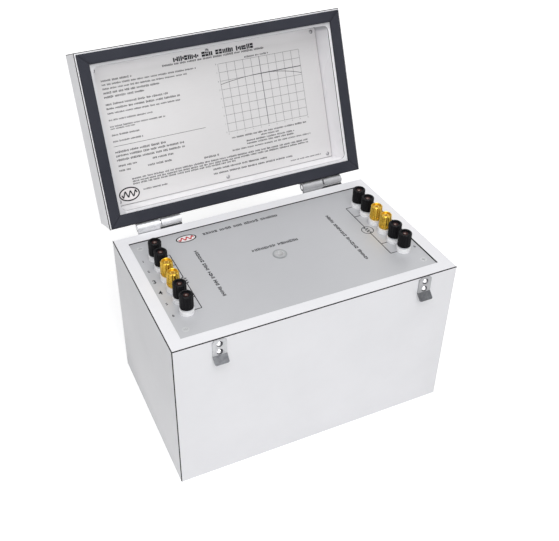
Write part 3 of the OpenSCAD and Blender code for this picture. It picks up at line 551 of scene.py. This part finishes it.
def bright_steel(name, colour=(0.74, 0.75, 0.77), roughness=0.16):
    """Polished plated steel of screws, rivets and pins."""
    made = Finish(name, colour, roughness, 1.0)
    scratch = made.noise(800, detail=4, rough=0.7, stretch=(1, 3, 1))
    made.set("Base Color", made.mix(scratch, times(colour, 0.85), colour))
    made.set("Roughness", made.remap(scratch, 0.3, 0.7, roughness - 0.05, roughness + 0.08))
    made.bump(scratch, 0.05, 0.05 * MM)
    return made.material


def rivet_steel():
    """Polished rivet heads with painted shade round their right and lower sides, by the way the surface
    faces.
    """
    made = Finish("rivet_steel", (0.86, 0.86, 0.88), 0.2, 0.9)
    scratch = made.noise(900, detail=4, rough=0.7)
    # Painted shade: a dark crescent where the heads turn away from the upper left.
    facing = made.along((-0.5, -0.7, 0.5), "Normal")
    ring = made.remap(facing, 0.9, 0.76)
    polished = made.mix(scratch, (0.78, 0.78, 0.8), (0.9, 0.9, 0.92))
    made.set("Base Color", made.mix(ring, polished, (0.06, 0.06, 0.068)))
    made.set("Roughness", made.remap(scratch, 0.3, 0.7, 0.08, 0.2))
    made.bump(scratch, 0.05, 0.05 * MM)
    return made.material


def gold():
    """Gold plated brass of the gold knobs, their clamp rings and the solder lugs."""
    made = Finish("gold_plate", (0.62, 0.42, 0.06), 0.3, 0.9)
    cloud = made.noise(300, detail=5, rough=0.6)
    tone = made.mix(made.remap(cloud, 0.3, 0.7), (0.57, 0.35, 0.035), (0.73, 0.48, 0.07))
    made.set("Base Color", made.edge_wear(tone, (0.95, 0.75, 0.25), 0.3 * MM, 0.8))
    made.set("Roughness", made.remap(cloud, 0.3, 0.7, 0.22, 0.32))
    made.bump(made.noise(1500, detail=3), 0.02, 0.05 * MM)
    return made.material


def in_sockets(made):
    """Inside the studs' sockets, by the distance to the nearest post's axis."""
    half = POST_PITCH / 2
    x = made.math("SUBTRACT", made.math("ABSOLUTE", made.along(TO_RIGHT)), POST_X)
    y = made.math("SUBTRACT", half, made.math("PINGPONG", made.along(TO_BACK), half))
    squares = made.math("ADD", made.math("MULTIPLY", x, x), made.math("MULTIPLY", y, y))
    return made.math("LESS_THAN", made.math("SQRT", squares), SOCKET_R)


def rubbed_sockets(made):
    """Painted glints on the sockets' back walls, just below the mouths."""
    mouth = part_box("post_studs")[1].z
    z = made.along(UPWARDS)
    patch = made.math("MULTIPLY", in_sockets(made), made.remap(z, mouth - 0.5 * MM, mouth - 1.0 * MM))
    patch = made.math("MULTIPLY", patch, made.remap(z, mouth - 3.2 * MM, mouth - 2.6 * MM))
    # Painted glint: only on walls that face the front and left.
    facing = made.along((-0.4, -0.9, 0), "Normal")
    return made.math("MULTIPLY", patch, made.remap(facing, 0.66, 0.82))


def stud_brass():
    """Studs: dark brown, with painted glints in the sockets, golden on the gold posts."""
    made = Finish("stud_brass", (0.78, 0.46, 0.22), 0.4, 0.6)
    turned = made.noise(1600, detail=3, stretch=(0.2, 0.2, 2))
    bright = made.mix(turned, (0.95, 0.76, 0.7), (1.0, 0.86, 0.8))
    brown = made.mix(turned, (0.045, 0.008, 0.008), (0.09, 0.018, 0.014))
    # Painted glints in the sockets over the dark brown.
    tone = made.mix(rubbed_sockets(made), brown, bright)
    golden = made.mix(turned, (0.86, 0.6, 0.12), (0.95, 0.74, 0.22))
    of_gold_post = made.math("LESS_THAN", made.math("ABSOLUTE", made.along(TO_BACK)), POST_PITCH)
    made.set("Base Color", made.mix(of_gold_post, tone, golden))
    made.set("Roughness", made.remap(turned, 0.3, 0.7, 0.34, 0.5))
    made.bump(turned, 0.08, 0.05 * MM)
    return made.material


def black_plastic():
    """Moulded black knobs, satin with lighter rubbed ribs."""
    made = Finish("black_moulding", (0.006, 0.006, 0.007), 0.38, 0.0, Specular_IOR_Level=0.12)
    grain = made.noise(2200, detail=3)
    dust = made.noise(380, detail=5, rough=0.7)
    tone = made.mix(made.remap(dust, 0.4, 0.75, 0, 0.6), (0.004, 0.004, 0.005), (0.012, 0.012, 0.014))
    made.set("Base Color", made.edge_wear(tone, (0.04, 0.04, 0.045), 0.3 * MM, 0.6))
    made.set("Roughness", made.remap(grain, 0.3, 0.7, 0.3, 0.46))
    made.bump(grain, 0.1, 0.06 * MM)
    return made.material


def pale_plastic(name, colour, roughness=0.3, soft=0.4):
    """Milky insulating plastic that lets a little light in."""
    made = Finish(name, colour, roughness, 0.0)
    made.set("Subsurface Weight", soft)
    made.shader.inputs["Subsurface Radius"].default_value = (2 * MM, 2 * MM, 2 * MM)
    made.shader.inputs["Subsurface Scale"].default_value = 1.0
    cloud = made.noise(160, detail=3)
    made.set("Base Color", made.mix(cloud, times(colour, 0.95), colour))
    made.set("Roughness", made.remap(cloud, 0.3, 0.7, roughness - 0.05, roughness + 0.08))
    made.bump(made.noise(1300, detail=3), 0.04, 0.05 * MM)
    return made.material


def grommet():
    """Grey nylon mouth of the well: a dark outer ring around a pale inner one."""
    made = Finish("grommet_nylon", (0.4, 0.41, 0.42), 0.6, Specular_IOR_Level=0.2)
    cloud = made.noise(300, detail=3)
    across = made.node("ShaderNodeVectorMath", operation="MULTIPLY")
    made.feed(across.inputs[0], made.place.outputs["Object"])
    across.inputs[1].default_value = (1, 1, 0)
    distance = made.node("ShaderNodeVectorMath", operation="LENGTH")
    made.feed(distance.inputs[0], across.outputs["Vector"])
    outer = made.remap(distance.outputs["Value"], GROMMET_RING_R - 0.2 * MM, GROMMET_RING_R + 0.2 * MM)
    pale = made.mix(cloud, (0.4, 0.41, 0.42), (0.46, 0.47, 0.48))
    dark = made.mix(cloud, (0.3, 0.31, 0.32), (0.36, 0.37, 0.38))
    made.set("Base Color", made.mix(outer, pale, dark))
    made.set("Roughness", made.remap(cloud, 0.3, 0.7, 0.55, 0.7))
    made.bump(cloud, 0.05, 0.05 * MM)
    return made.material


def tube_end(made):
    """The well tube's upper end, greyer than its inside."""
    return made.math("GREATER_THAN", made.along(UPWARDS, "Normal"), 0.5)


def foam(name, low, high, pore):
    """Closed cell foam, matt, with pores and slow tone changes."""
    made = Finish(name, high, 0.88, Specular_IOR_Level=0.3)
    pores = made.cells(pore)
    slow = made.noise(25, detail=3)
    tone = made.mix(made.remap(slow, 0.3, 0.7), low, high)
    pit = made.remap(pores, 0.0, 0.35, 1.0, 0.0)
    made.set("Base Color", made.mix(made.math("MULTIPLY", pit, 0.5), tone, times(low, 0.4)))
    made.set("Roughness", made.remap(slow, 0.3, 0.7, 0.8, 0.95))
    made.bump(pores, 0.5, 0.15 * MM)
    made.bump(made.noise(300, detail=5, rough=0.7), 0.25, 0.2 * MM)
    return made.material


def ink(name, colour):
    """Screen printed ink with slightly broken cover."""
    made = Finish(name, colour, 0.55, Specular_IOR_Level=0.2)
    cover = made.noise(1800, detail=3)
    thin = tuple(min(1.0, c * 1.4 + 0.01) for c in colour)
    made.set("Base Color", made.mix(made.remap(cover, 0.45, 0.75), colour, thin))
    made.bump(cover, 0.05, 0.02 * MM)
    return made.material


def mica_card():
    made = Finish("mica_card", (0.6, 0.48, 0.27), 0.45)
    flake = made.cells(90)
    bands = made.node("ShaderNodeTexWave", wave_type="BANDS", bands_direction="X")
    made.feed(bands.inputs["Vector"], made.point())
    bands.inputs["Scale"].default_value = 320
    tone = made.mix(flake, (0.5, 0.37, 0.18), (0.7, 0.6, 0.4))
    wound = made.remap(bands.outputs["Fac"], 0.4, 0.6, 0, 0.5)
    made.set("Base Color", made.mix(wound, tone, (0.35, 0.16, 0.07)))
    made.set("Roughness", made.remap(flake, 0, 1, 0.35, 0.55))
    made.bump(bands.outputs["Fac"], 0.4, 0.1 * MM)
    return made.material


def copper_wire():
    made = Finish("tinned_copper", (0.75, 0.4, 0.24), 0.3, 1.0)
    tarnish = made.noise(220, detail=5)
    dull = made.remap(tarnish, 0.35, 0.65)
    made.set("Base Color", made.mix(dull, (0.52, 0.26, 0.15), (0.82, 0.48, 0.32)))
    made.set("Roughness", made.remap(tarnish, 0.3, 0.7, 0.22, 0.42))
    return made.material


# Mesh pieces

def add_piece(name, bm, body, material):
    """Makes an object of a mesh. A piece of the lid is drawn shut and swung open here."""
    if body == "lid":
        bm.transform(OPEN_LID)
    bmesh.ops.recalc_face_normals(bm, faces=bm.faces[:])
    mesh = bpy.data.meshes.new(name)
    bm.to_mesh(mesh)
    bm.free()
    mesh.materials.append(material)
    piece = bpy.data.objects.new(name, mesh)
    bpy.context.scene.collection.objects.link(piece)
    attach(piece, body)
    return piece


def prism(bm, low_ring, high_ring):
    """Closed solid between two rings of points with as many points each."""
    low = [bm.verts.new(p) for p in low_ring]
    high = [bm.verts.new(p) for p in high_ring]
    bm.faces.new(low)
    bm.faces.new(high)
    for k in range(len(low)):
        n = (k + 1) % len(low)
        bm.faces.new((low[k], low[n], high[n], high[k]))


# Least and greatest number of marks in a group
GROUP_MARKS = (3, 8)


class Print:
    """Flat printing on one plane: place(u, v, height) says where a point of the drawing lies."""

    def __init__(self, place):
        self.place = place
        self.bm = bmesh.new()

    def shape(self, points):
        prism(
            self.bm,
            [self.place(u, v, 0) for u, v in points],
            [self.place(u, v, INK_T) for u, v in points],
        )

    def line(self, p, q, width):
        p, q = Vector(p), Vector(q)
        side = (q - p).normalized().orthogonal() * width / 2
        self.shape([p + side, q + side, q - side, p - side])

    def path(self, points, width):
        for p, q in zip(points, points[1:]):
            self.line(p, q, width)

    def ring(self, centre, radius, width, start=0.0, end=360.0, steps=40):
        inner, outer = radius - width / 2, radius + width / 2
        for k in range(steps):
            a = math.radians(start + (end - start) * k / steps)
            b = math.radians(start + (end - start) * (k + 1) / steps)
            self.shape([
                (centre[0] + r * math.cos(t), centre[1] + r * math.sin(t))
                for r, t in ((inner, a), (outer, a), (outer, b), (inner, b))
            ])

    def marks(self, start, length, height, rng, turn=0.0, heavy=0.0):
        """A line of small blocks in groups of uneven length."""
        c, s = math.cos(turn), math.sin(turn)
        pitch = height * 0.8
        at = 0.0
        left = rng.randint(*GROUP_MARKS)
        while at + pitch * 0.7 <= length:
            if left == 0:
                left = rng.randint(*GROUP_MARKS)
                at += pitch * 0.8
                continue
            left -= 1
            tall = height * rng.choice((0.84, 0.84, 1.0, 0.94))
            wide = pitch * rng.uniform(0.7 + heavy, 0.88 + heavy)
            self.blocks(start, at, wide, tall, c, s, rng, 0.38 + 0.5 * heavy)
            at += pitch

    def blocks(self, start, at, wide, tall, c, s, rng, bar):
        """One mark: two small blocks, one over the other or side by side, or a bar and a dot."""
        def turned(x, y):
            return (start[0] + x * c - y * s, start[1] + x * s + y * c)

        def box(x0, y0, x1, y1):
            self.shape([turned(x0, y0), turned(x1, y0), turned(x1, y1), turned(x0, y1)])

        kind = rng.random()
        if kind < 0.3:
            box(at, 0, at + wide, (bar + 0.02) * tall)
            box(at, (0.98 - bar) * tall, at + wide, tall)
        elif kind < 0.7:
            box(at, 0, at + bar * wide, tall)
            box(at + (1 - bar) * wide, 0, at + wide, tall)
        else:
            box(at, 0, at + bar * wide, tall)
            box(at + (bar + 0.14) * wide, 0.26 * tall, at + wide, 0.74 * tall)


def numeral(text, size, thickness, bold):
    """Mesh of a plain number, lying in X and Y, centred."""
    curve = bpy.data.curves.new("numeral", "FONT")
    curve.body = text
    curve.size = size
    curve.extrude = thickness / 2
    curve.offset = bold
    curve.align_x = "CENTER"
    curve.align_y = "CENTER"
    curve.resolution_u = 3
    holder = bpy.data.objects.new("numeral", curve)
    bpy.context.scene.collection.objects.link(holder)
    bpy.context.view_layer.update()
    mesh = bpy.data.meshes.new_from_object(holder.evaluated_get(bpy.context.evaluated_depsgraph_get()))
    bpy.data.objects.remove(holder)
    bpy.data.curves.remove(curve)
    return mesh


def add_numeral(sheet, text, centre, size, bold=0.0):
    """Adds a plain number to a printed sheet."""
    mesh = numeral(text, size, INK_T, bold)
    made = {}
    for v in mesh.vertices:
        made[v.index] = sheet.bm.verts.new(
            sheet.place(centre[0] + v.co.x, centre[1] + v.co.y, v.co.z + INK_T / 2)
        )
    for face in mesh.polygons:
        sheet.bm.faces.new([made[k] for k in face.vertices])
    bpy.data.meshes.remove(mesh)


# Printing on the instrument panel

PANEL_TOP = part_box("instrument_panel")[1].z
POST_X = (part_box("knob_right_1")[0].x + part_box("knob_right_1")[1].x) / 2
POST_Y = [
    (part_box(f"knob_right_{n}")[0].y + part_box(f"knob_right_{n}")[1].y) / 2
    for n in range(1, 7)
]
POST_PITCH = POST_Y[0] - POST_Y[1]
CIRCUIT_X = 109 * MM
CIRCUIT_LINE = 0.95 * MM
POST_NUMBER_X = 139 * MM
PANEL_BADGE = (-82 * MM, 68.7 * MM)
ZIGZAG_HALF = 5.5 * MM
TRUNK_RING_R = 6.6 * MM

# How far from a post's axis its circuit line ends
LINE_END = 7.9 * MM

# Size and added boldness of the middle posts' numbers and of the others'
BIG_NUMBER = (8.4 * MM, 0.16 * MM)
SMALL_NUMBER = (4.8 * MM, 0.1 * MM)
PANEL_CAPTIONS = [
    # x, y, length and height in millimetres, turn in degrees
    (-62, 66.8, 92, 4.4, 0), (-25, 15.1, 55, 4.4, 0),
    (-82.9, 43, 84, 4, -90), (79.3, 44, 91, 4, -90),
]


def on_panel(x, y, height):
    return Vector((x, y, PANEL_TOP + height))


def zigzag(start, end, half_width, teeth):
    """Points of a resistor's zigzag from start to end."""
    start, end = Vector(start), Vector(end)
    along = end - start
    side = along.normalized().orthogonal() * half_width
    points = [start]
    for k in range(2 * teeth):
        points.append(start + along * (k + 0.5) / (2 * teeth) + side * (1 if k % 2 else -1))
    return points + [end]


def circuit_side(sheet, side):
    """Circuit lines beside one row of posts: four branches, a trunk and the resistor's zigzag."""
    x = side * CIRCUIT_X
    top, bottom = POST_Y[0], POST_Y[-1]
    sheet.line((x, top), (x, ZIGZAG_HALF), CIRCUIT_LINE)
    sheet.line((x, -ZIGZAG_HALF), (x, bottom), CIRCUIT_LINE)
    sheet.path(zigzag((x, ZIGZAG_HALF), (x, -ZIGZAG_HALF), 2.6 * MM, teeth=3), CIRCUIT_LINE * 0.9)
    near = side * (POST_X - LINE_END)
    for k in (0, 1, 4, 5):
        sheet.line((x, POST_Y[k]), (near, POST_Y[k]), CIRCUIT_LINE)


def badge(plane, centre, wide, tall, body, name, colour):
    """Plain oval badge with a resistor's zigzag in it."""

    def oval(inset, steps=48):
        turns = [2 * math.pi * k / steps for k in range(steps)]
        return [
            (centre[0] + (wide - inset) * math.cos(t), centre[1] + (tall - inset) * math.sin(t))
            for t in turns
        ]

    def on_field(u, v, height):
        return plane(u, v, height + INK_T)

    field = Print(plane)
    field.shape(oval(0))
    white = ink(f"{name}_badge_white", (0.7, 0.67, 0.67))
    add_piece(f"{name}_badge_field", field.bm, body, white)
    frame_line = Print(on_field)
    outer, inner = oval(0), oval(0.12 * wide)
    for k in range(len(outer)):
        n = (k + 1) % len(outer)
        frame_line.shape([outer[k], outer[n], inner[n], inner[k]])
    black = ink(f"{name}_badge_black", (0.015, 0.012, 0.014))
    add_piece(f"{name}_badge_frame", frame_line.bm, body, black)
    symbol = Print(on_field)
    reach = 0.74 * wide
    start, end = (centre[0] - reach, centre[1]), (centre[0] + reach, centre[1])
    symbol.path(zigzag(start, end, 0.45 * tall, teeth=3), 0.12 * wide)
    add_piece(f"{name}_badge_symbol", symbol.bm, body, ink(f"{name}_badge_ink", colour))


def panel_printing():
    rng = random.Random(7)
    black = ink("panel_ink", (0.01, 0.01, 0.013))
    circuit = Print(on_panel)
    circuit_side(circuit, -1)
    circuit_side(circuit, 1)
    circuit.ring((CIRCUIT_X, 0), TRUNK_RING_R, width=0.85 * MM)
    add_piece("panel_circuit_print", circuit.bm, "case", black)
    captions = Print(on_panel)
    for x, y, length, height, turn in PANEL_CAPTIONS:
        captions.marks((x * MM, y * MM), length * MM, height * MM, rng, turn=math.radians(turn))
    add_piece("panel_caption_print", captions.bm, "case", black)
    numbers = Print(on_panel)
    for side in (-1, 1):
        for k, y in enumerate(POST_Y):
            size, bold = BIG_NUMBER if k in (2, 3) else SMALL_NUMBER
            add_numeral(numbers, str(k + 1), (side * POST_NUMBER_X, y), size, bold)
    add_piece("post_number_print", numbers.bm, "case", black)
    badge(on_panel, PANEL_BADGE, 12 * MM, 6.6 * MM, "case", "panel", (0.5, 0.012, 0.02))


# Printing on the label plate in the lid: u to the right, v to the lid's free edge

LABEL_Z = shut_box("label_plate")[0].z
CHART_U = (10.4 * MM, 115.2 * MM)
CHART_V = (-22.6 * MM, 57.5 * MM)
LABEL_BADGE = (-122 * MM, -67.9 * MM)
CHART_COLUMNS = 10
CHART_ROWS = 8
CHART_LINE = 0.38 * MM
CHART_AXIS = 0.8 * MM
CURVE_LINE = 0.55 * MM
CURVE_TOP = 6.05
CURVE_RISE = 0.42
CHART_NUMBER = 2.0 * MM
TEXT_LEFT = -128.5 * MM
TEXT_ROWS = [
    # v, where the row ends and its height, in millimetres
    (62.4, -92.5, 2.3), (57.9, -16.1, 1.9), (53.4, -28.3, 1.9), (48.8, -62.6, 2.3), (44.1, -80.9, 2.3),
    (36.0, -54.9, 2.2), (31.2, -40.0, 2.2), (26.0, -42.0, 1.8), (18.4, -75.9, 1.7),
    (11.1, -62.6, 1.8), (8.5, -99.0, 1.6), (1.4, -95.0, 1.9), (-5.8, -92.7, 1.9),
    (-18.1, -68.3, 2.5), (-22.6, -45.6, 2.3), (-27.4, -45.5, 2.3),
]
TEXT_PIECES = [
    # where it starts and ends, v and height, in millimetres
    (-128, -104.8, -34, 2.2), (-87, -61, -33, 2.2), (-128, -112.5, -39.5, 2.2), (-94, -65, -40, 2.2),
    (-55.9, 70.8, 66.7, 2.3), (44.6, 76.6, 60.0, 2.0), (13, 112.7, -30.1, 2.0), (50.6, 74.9, -33.6, 1.9),
    (30.8, 95.6, -37.3, 2.0), (31, 95.6, -40.6, 2.0), (11.1, 116.2, -45, 1.8),
    (-115.4, 111, -51.5, 2.0), (-115.1, 111.4, -54.6, 2.0), (-115.4, 14, -57.4, 2.0),
    (-16.9, 53.7, -62.2, 2.2), (-17.2, 88.2, -67.6, 2.2), (84.1, 126.2, -73.2, 1.5),
    (-104.8, -74.9, -66.2, 1.8), (-25.5, -5.5, -46.1, 2.4),
]


def on_label(u, v, height):
    return Vector((u, -v, LABEL_Z - height))


def label_text(sheet, rng):
    for v, end, height in TEXT_ROWS:
        sheet.marks((TEXT_LEFT, (v - height / 2) * MM), end * MM - TEXT_LEFT, height * MM, rng)
    for start, end, v, height in TEXT_PIECES:
        sheet.marks((start * MM, (v - height / 2) * MM), (end - start) * MM, height * MM, rng)
    sheet.marks((-42 * MM, 68.7 * MM), 101 * MM, 5.6 * MM, rng, heavy=0.1)
    sheet.line((-129 * MM, -11.5 * MM), (-17.5 * MM, -11.5 * MM), 0.45 * MM)


def chart_point(column, row):
    """Place on the chart, in columns from the left and rows from the bottom."""
    return (
        CHART_U[0] + (CHART_U[1] - CHART_U[0]) * column / CHART_COLUMNS,
        CHART_V[0] + (CHART_V[1] - CHART_V[0]) * row / CHART_ROWS,
    )


def bend(column, drop):
    """Row of a curve that rises to the middle of the chart and then falls by drop."""
    middle = CHART_COLUMNS / 2
    if column < middle:
        drop = CURVE_RISE
    return CURVE_TOP - drop * ((column - middle) / middle) ** 2


def label_printing():
    rng = random.Random(11)
    grey_ink = ink("label_ink", (0.018, 0.018, 0.022))
    grid = Print(on_label)
    for column in range(CHART_COLUMNS + 1):
        width = CHART_AXIS if column == CHART_COLUMNS // 2 else CHART_LINE
        grid.line(chart_point(column, 0), chart_point(column, CHART_ROWS), width)
    for row in range(CHART_ROWS + 1):
        grid.line(chart_point(0, row), chart_point(CHART_COLUMNS, row), CHART_LINE)
    add_piece("label_chart_grid", grid.bm, "lid", ink("label_grid_ink", (0.13, 0.13, 0.14)))
    curves = Print(on_label)
    steps = 20
    columns = [CHART_COLUMNS * k / steps for k in range(steps + 1)]
    for drop in (0.0, 0.85):
        curve = [chart_point(column, bend(column, drop)) for column in columns]
        curves.path(curve, CURVE_LINE)
    add_piece("label_chart_curves", curves.bm, "lid", grey_ink)
    text = Print(on_label)
    label_text(text, rng)
    add_piece("label_text_print", text.bm, "lid", grey_ink)
    numbers = Print(on_label)
    for row in range(CHART_ROWS + 1):
        u, v = chart_point(0, row)
        add_numeral(numbers, str(row), (u - 2.6 * MM, v), CHART_NUMBER)
    for column in range(CHART_COLUMNS + 1):
        u, v = chart_point(column, 0)
        add_numeral(numbers, str(column), (u, v - 2.4 * MM), CHART_NUMBER)
    add_piece("label_chart_numbers", numbers.bm, "lid", grey_ink)
    badge(on_label, LABEL_BADGE, 12.4 * MM, 8.2 * MM, "lid", "label", (0.03, 0.03, 0.034))


# Foam gasket: four mitred strips with soft edges

GASKET_WIDTH = 12.2 * MM
GASKET_DEEP = 13.2 * MM
GASKET_INSET = 1.0 * MM
GASKET_SEAM = 0.12 * MM
GASKET_STEPS = 56
FULL_TURN = 6.283

# A strip's outline: how far across it, and how much of its thickness
GASKET_PROFILE = [
    (0.0, 0.0), (0.0, 0.62), (0.035, 0.9), (0.1, 1.0), (0.3, 1.0), (0.5, 1.0),
    (0.7, 1.0), (0.9, 1.0), (0.965, 0.9), (1.0, 0.62), (1.0, 0.0),
]


def gasket_strip(bm, corners, z0, z1, seed):
    """One strip between two outer and two inner corners, its long edges rounded and its face uneven."""
    outer_a, outer_b, inner_a, inner_b = [Vector(c) for c in corners]
    rng = random.Random(seed)
    waves = [(rng.uniform(3, 11), rng.uniform(0, 6.3), rng.uniform(0.02, 0.05)) for _ in range(4)]
    rings = []
    for k in range(GASKET_STEPS + 1):
        t = k / GASKET_STEPS
        outer = outer_a.lerp(outer_b, t)
        inner = inner_a.lerp(inner_b, t)
        wave = sum(size * math.sin(turns * t * FULL_TURN + phase) for turns, phase, size in waves)
        ring = []
        for across, rise in GASKET_PROFILE:
            at = outer.lerp(inner, across)
            sink = 0.08 * (1 + wave * 8) * rise * (4 * across * (1 - across)) * 0.5
            ring.append(bm.verts.new((at.x, at.y, z1 - (z1 - z0) * (rise - max(0.0, sink) * 0.6))))
        rings.append(ring)
    for a, b in zip(rings, rings[1:]):
        for n in range(len(GASKET_PROFILE) - 1):
            bm.faces.new((a[n], a[n + 1], b[n + 1], b[n]))
        bm.faces.new((a[-1], a[0], b[0], b[-1]))
    bm.faces.new(rings[0])
    bm.faces.new(rings[-1])


def make_gasket():
    low, high = shut_box("gasket")
    low = low + Vector((GASKET_INSET, GASKET_INSET, 0))
    high = high - Vector((GASKET_INSET, 0, 0))
    bm = bmesh.new()
    outer_points = [(low.x, low.y), (high.x, low.y), (high.x, high.y), (low.x, high.y)]
    left, right = low.x + GASKET_WIDTH, high.x - GASKET_WIDTH
    front, back = low.y + GASKET_WIDTH, high.y - GASKET_DEEP
    inner_points = [(left, front), (right, front), (right, back), (left, back)]
    for k in range(4):
        n = (k + 1) % 4
        along = (Vector(outer_points[n]) - Vector(outer_points[k])).normalized() * GASKET_SEAM
        corners = [
            Vector(outer_points[k]) + along, Vector(outer_points[n]) - along,
            Vector(inner_points[k]) + along, Vector(inner_points[n]) - along,
        ]
        gasket_strip(bm, corners, low.z, high.z, seed=20 + k)
    rubber = foam("gasket_foam", (0.022, 0.024, 0.034), (0.038, 0.04, 0.052), 1100)
    gasket = add_piece("gasket_strips", bm, "lid", rubber)
    for face in gasket.data.polygons:
        face.use_smooth = True
    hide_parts("gasket")


# Foam that holds the can inside the case

CAN_R = 58 * MM


def make_cradle():
    """Block with rounded edges and a round nest for the can."""
    low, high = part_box("foam_cradle")
    nest_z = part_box("resistor_can")[0].z
    steps = 64
    turns = [2 * math.pi * (k + 0.5) / steps for k in range(steps)]
    soft = 2.5 * MM
    bm = bmesh.new()

    def outline(inset):
        half_w = (high.x - low.x) / 2 - inset
        half_d = (high.y - low.y) / 2 - inset
        points = []
        for turn in turns:
            c, s = math.cos(turn), math.sin(turn)
            reach = min(half_w / abs(c), half_d / abs(s))
            points.append((reach * c, reach * s))
        return points

    def circle(radius):
        return [(radius * math.cos(turn), radius * math.sin(turn)) for turn in turns]

    rings = [
        [bm.verts.new((x, y, z)) for x, y in points]
        for points, z in (
            (outline(0), low.z), (outline(0), high.z - soft),
            (outline(soft * 0.3), high.z - soft * 0.3), (outline(soft), high.z),
            (circle(CAN_R + soft), high.z), (circle(CAN_R + soft * 0.3), high.z - soft * 0.3),
            (circle(CAN_R), high.z - soft), (circle(CAN_R), nest_z),
        )
    ]
    for a, b in zip(rings, rings[1:]):
        for k in range(steps):
            n = (k + 1) % steps
            bm.faces.new((a[k], a[n], b[n], b[k]))
    bm.faces.new(rings[0])
    bm.faces.new(rings[-1])
    grey_foam = foam("cradle_foam", (0.2, 0.21, 0.23), (0.3, 0.31, 0.33), 500)
    cradle = add_piece("foam_block", bm, "case", grey_foam)
    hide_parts("foam_cradle")


# Finishes of the nodes

def dress_nodes():
    """Gives every node of the model its finish."""
    steel = bright_steel("screw_steel")
    pale = pale_plastic("insulator_white", (0.97, 0.97, 0.99))
    timber = board()
    gold_plate = gold()
    black = black_plastic()
    can_metal = satin_sheet("can_tinplate", (0.6, 0.61, 0.62), 0.32, 0.9)
    finishes = {
        "case_boards": timber, "bottom_board": timber, "panel_cleats": timber,
        "lid_rails": timber, "lid_top_board": painted_board(),
        "front_laminate": laminate("laminate_front_back", TO_BACK),
        # The end sheets are drawn at 0.89 of the white as painted shade on the case's sides, with glue
        # lines and painted shade towards the back.
        "end_laminates": laminate("laminate_ends", TO_RIGHT, 0.89, end_marks, LAMINATE_CORE),
        "rim_laminate": laminate("laminate_rim", UPWARDS),
        "lid_laminates": lid_laminate("laminate_lid"),
        # The lid rim's left and upper lip carry painted shade.
        "lid_rim_laminate": laminate("laminate_lid_rim", LID_UP, 1.0, greyed_lip, LIP_SHADE_GREY),
        # The panel carries painted shade along its right edge.
        "instrument_panel": satin_sheet(
            "panel_aluminium", (0.54, 0.545, 0.565), 0.48, 0.3, panel_edge, GAP_SHADE_BLACK,
        ),
        # The label carries painted light along its upper edge.
        "label_plate": satin_sheet(
            "label_aluminium", (0.645, 0.635, 0.64), 0.45, 0.3, label_edge, (0.84, 0.83, 0.84),
        ),
        "panel_screws": satin_sheet("panel_screw_steel", (0.62, 0.63, 0.64), 0.4, 0.3),
        "lid_screws": bright_steel("lid_screw_steel", (0.36, 0.36, 0.37), 0.3),
        "well_grommet": grommet(),
        "well_tube": satin_sheet(
            "well_aluminium", (0.86, 0.86, 0.87), 0.5, 0.1, tube_end, (0.52, 0.52, 0.53),
        ),
        "post_studs": stud_brass(), "post_insulators": pale,
        "post_nuts": steel, "solder_lugs": gold_plate,
        "resistor_can": can_metal, "can_cover": can_metal,
        "resistor_cards": mica_card(),
        "temperature_sensor": pale_plastic("bobbin_ceramic", (0.8, 0.78, 0.7), 0.5, 0.1),
        "can_standoffs": steel, "lead_wires": copper_wire(),
        # The case leaves carry painted shade under the lid's knuckles.
        "hinge_case_leaves": zinc_plate("case_leaf_zinc", HINGE_ZINC, 0.42, gap_shaded=True),
        "hinge_lid_leaves": zinc_plate("lid_leaf_zinc", HINGE_ZINC, 0.42, gap_shaded=False),
        "hinge_pins": bright_steel("pin_steel", (0.8, 0.8, 0.82), 0.14),
        "case_leaf_screws": steel, "strike_plates": strike_plate(),
        "strike_rivets": rivet_steel(),
    }
    finishes["back_laminate"] = finishes["front_laminate"]
    finishes["lid_liner"] = lid_lining()
    for side in ("left", "right"):
        for n in range(1, 7):
            is_gold = n in (3, 4)
            finishes[f"clamp_{side}_{n}"] = gold_plate if is_gold else steel
            finishes[f"knob_{side}_{n}"] = gold_plate if is_gold else black
    for name, node in nodes.items():
        if name in finishes:
            node.data.materials.clear()
            node.data.materials.append(finishes[name])


make_camera()
make_world()
make_stage()
area_light("overhead", (-0.2, -0.35, 2.15), target=(0, 0, 0.15), size=(2.0, 2.0), energy=31.5)
area_light("front", (-0.4, -1.6, 1.4), target=(0, 0, 0.2), size=(1.4, 1.1), energy=18.0)
dress_nodes()
panel_printing()
label_printing()
make_gasket()
make_cradle()

bpy.context.scene.view_settings.view_transform = "Standard"
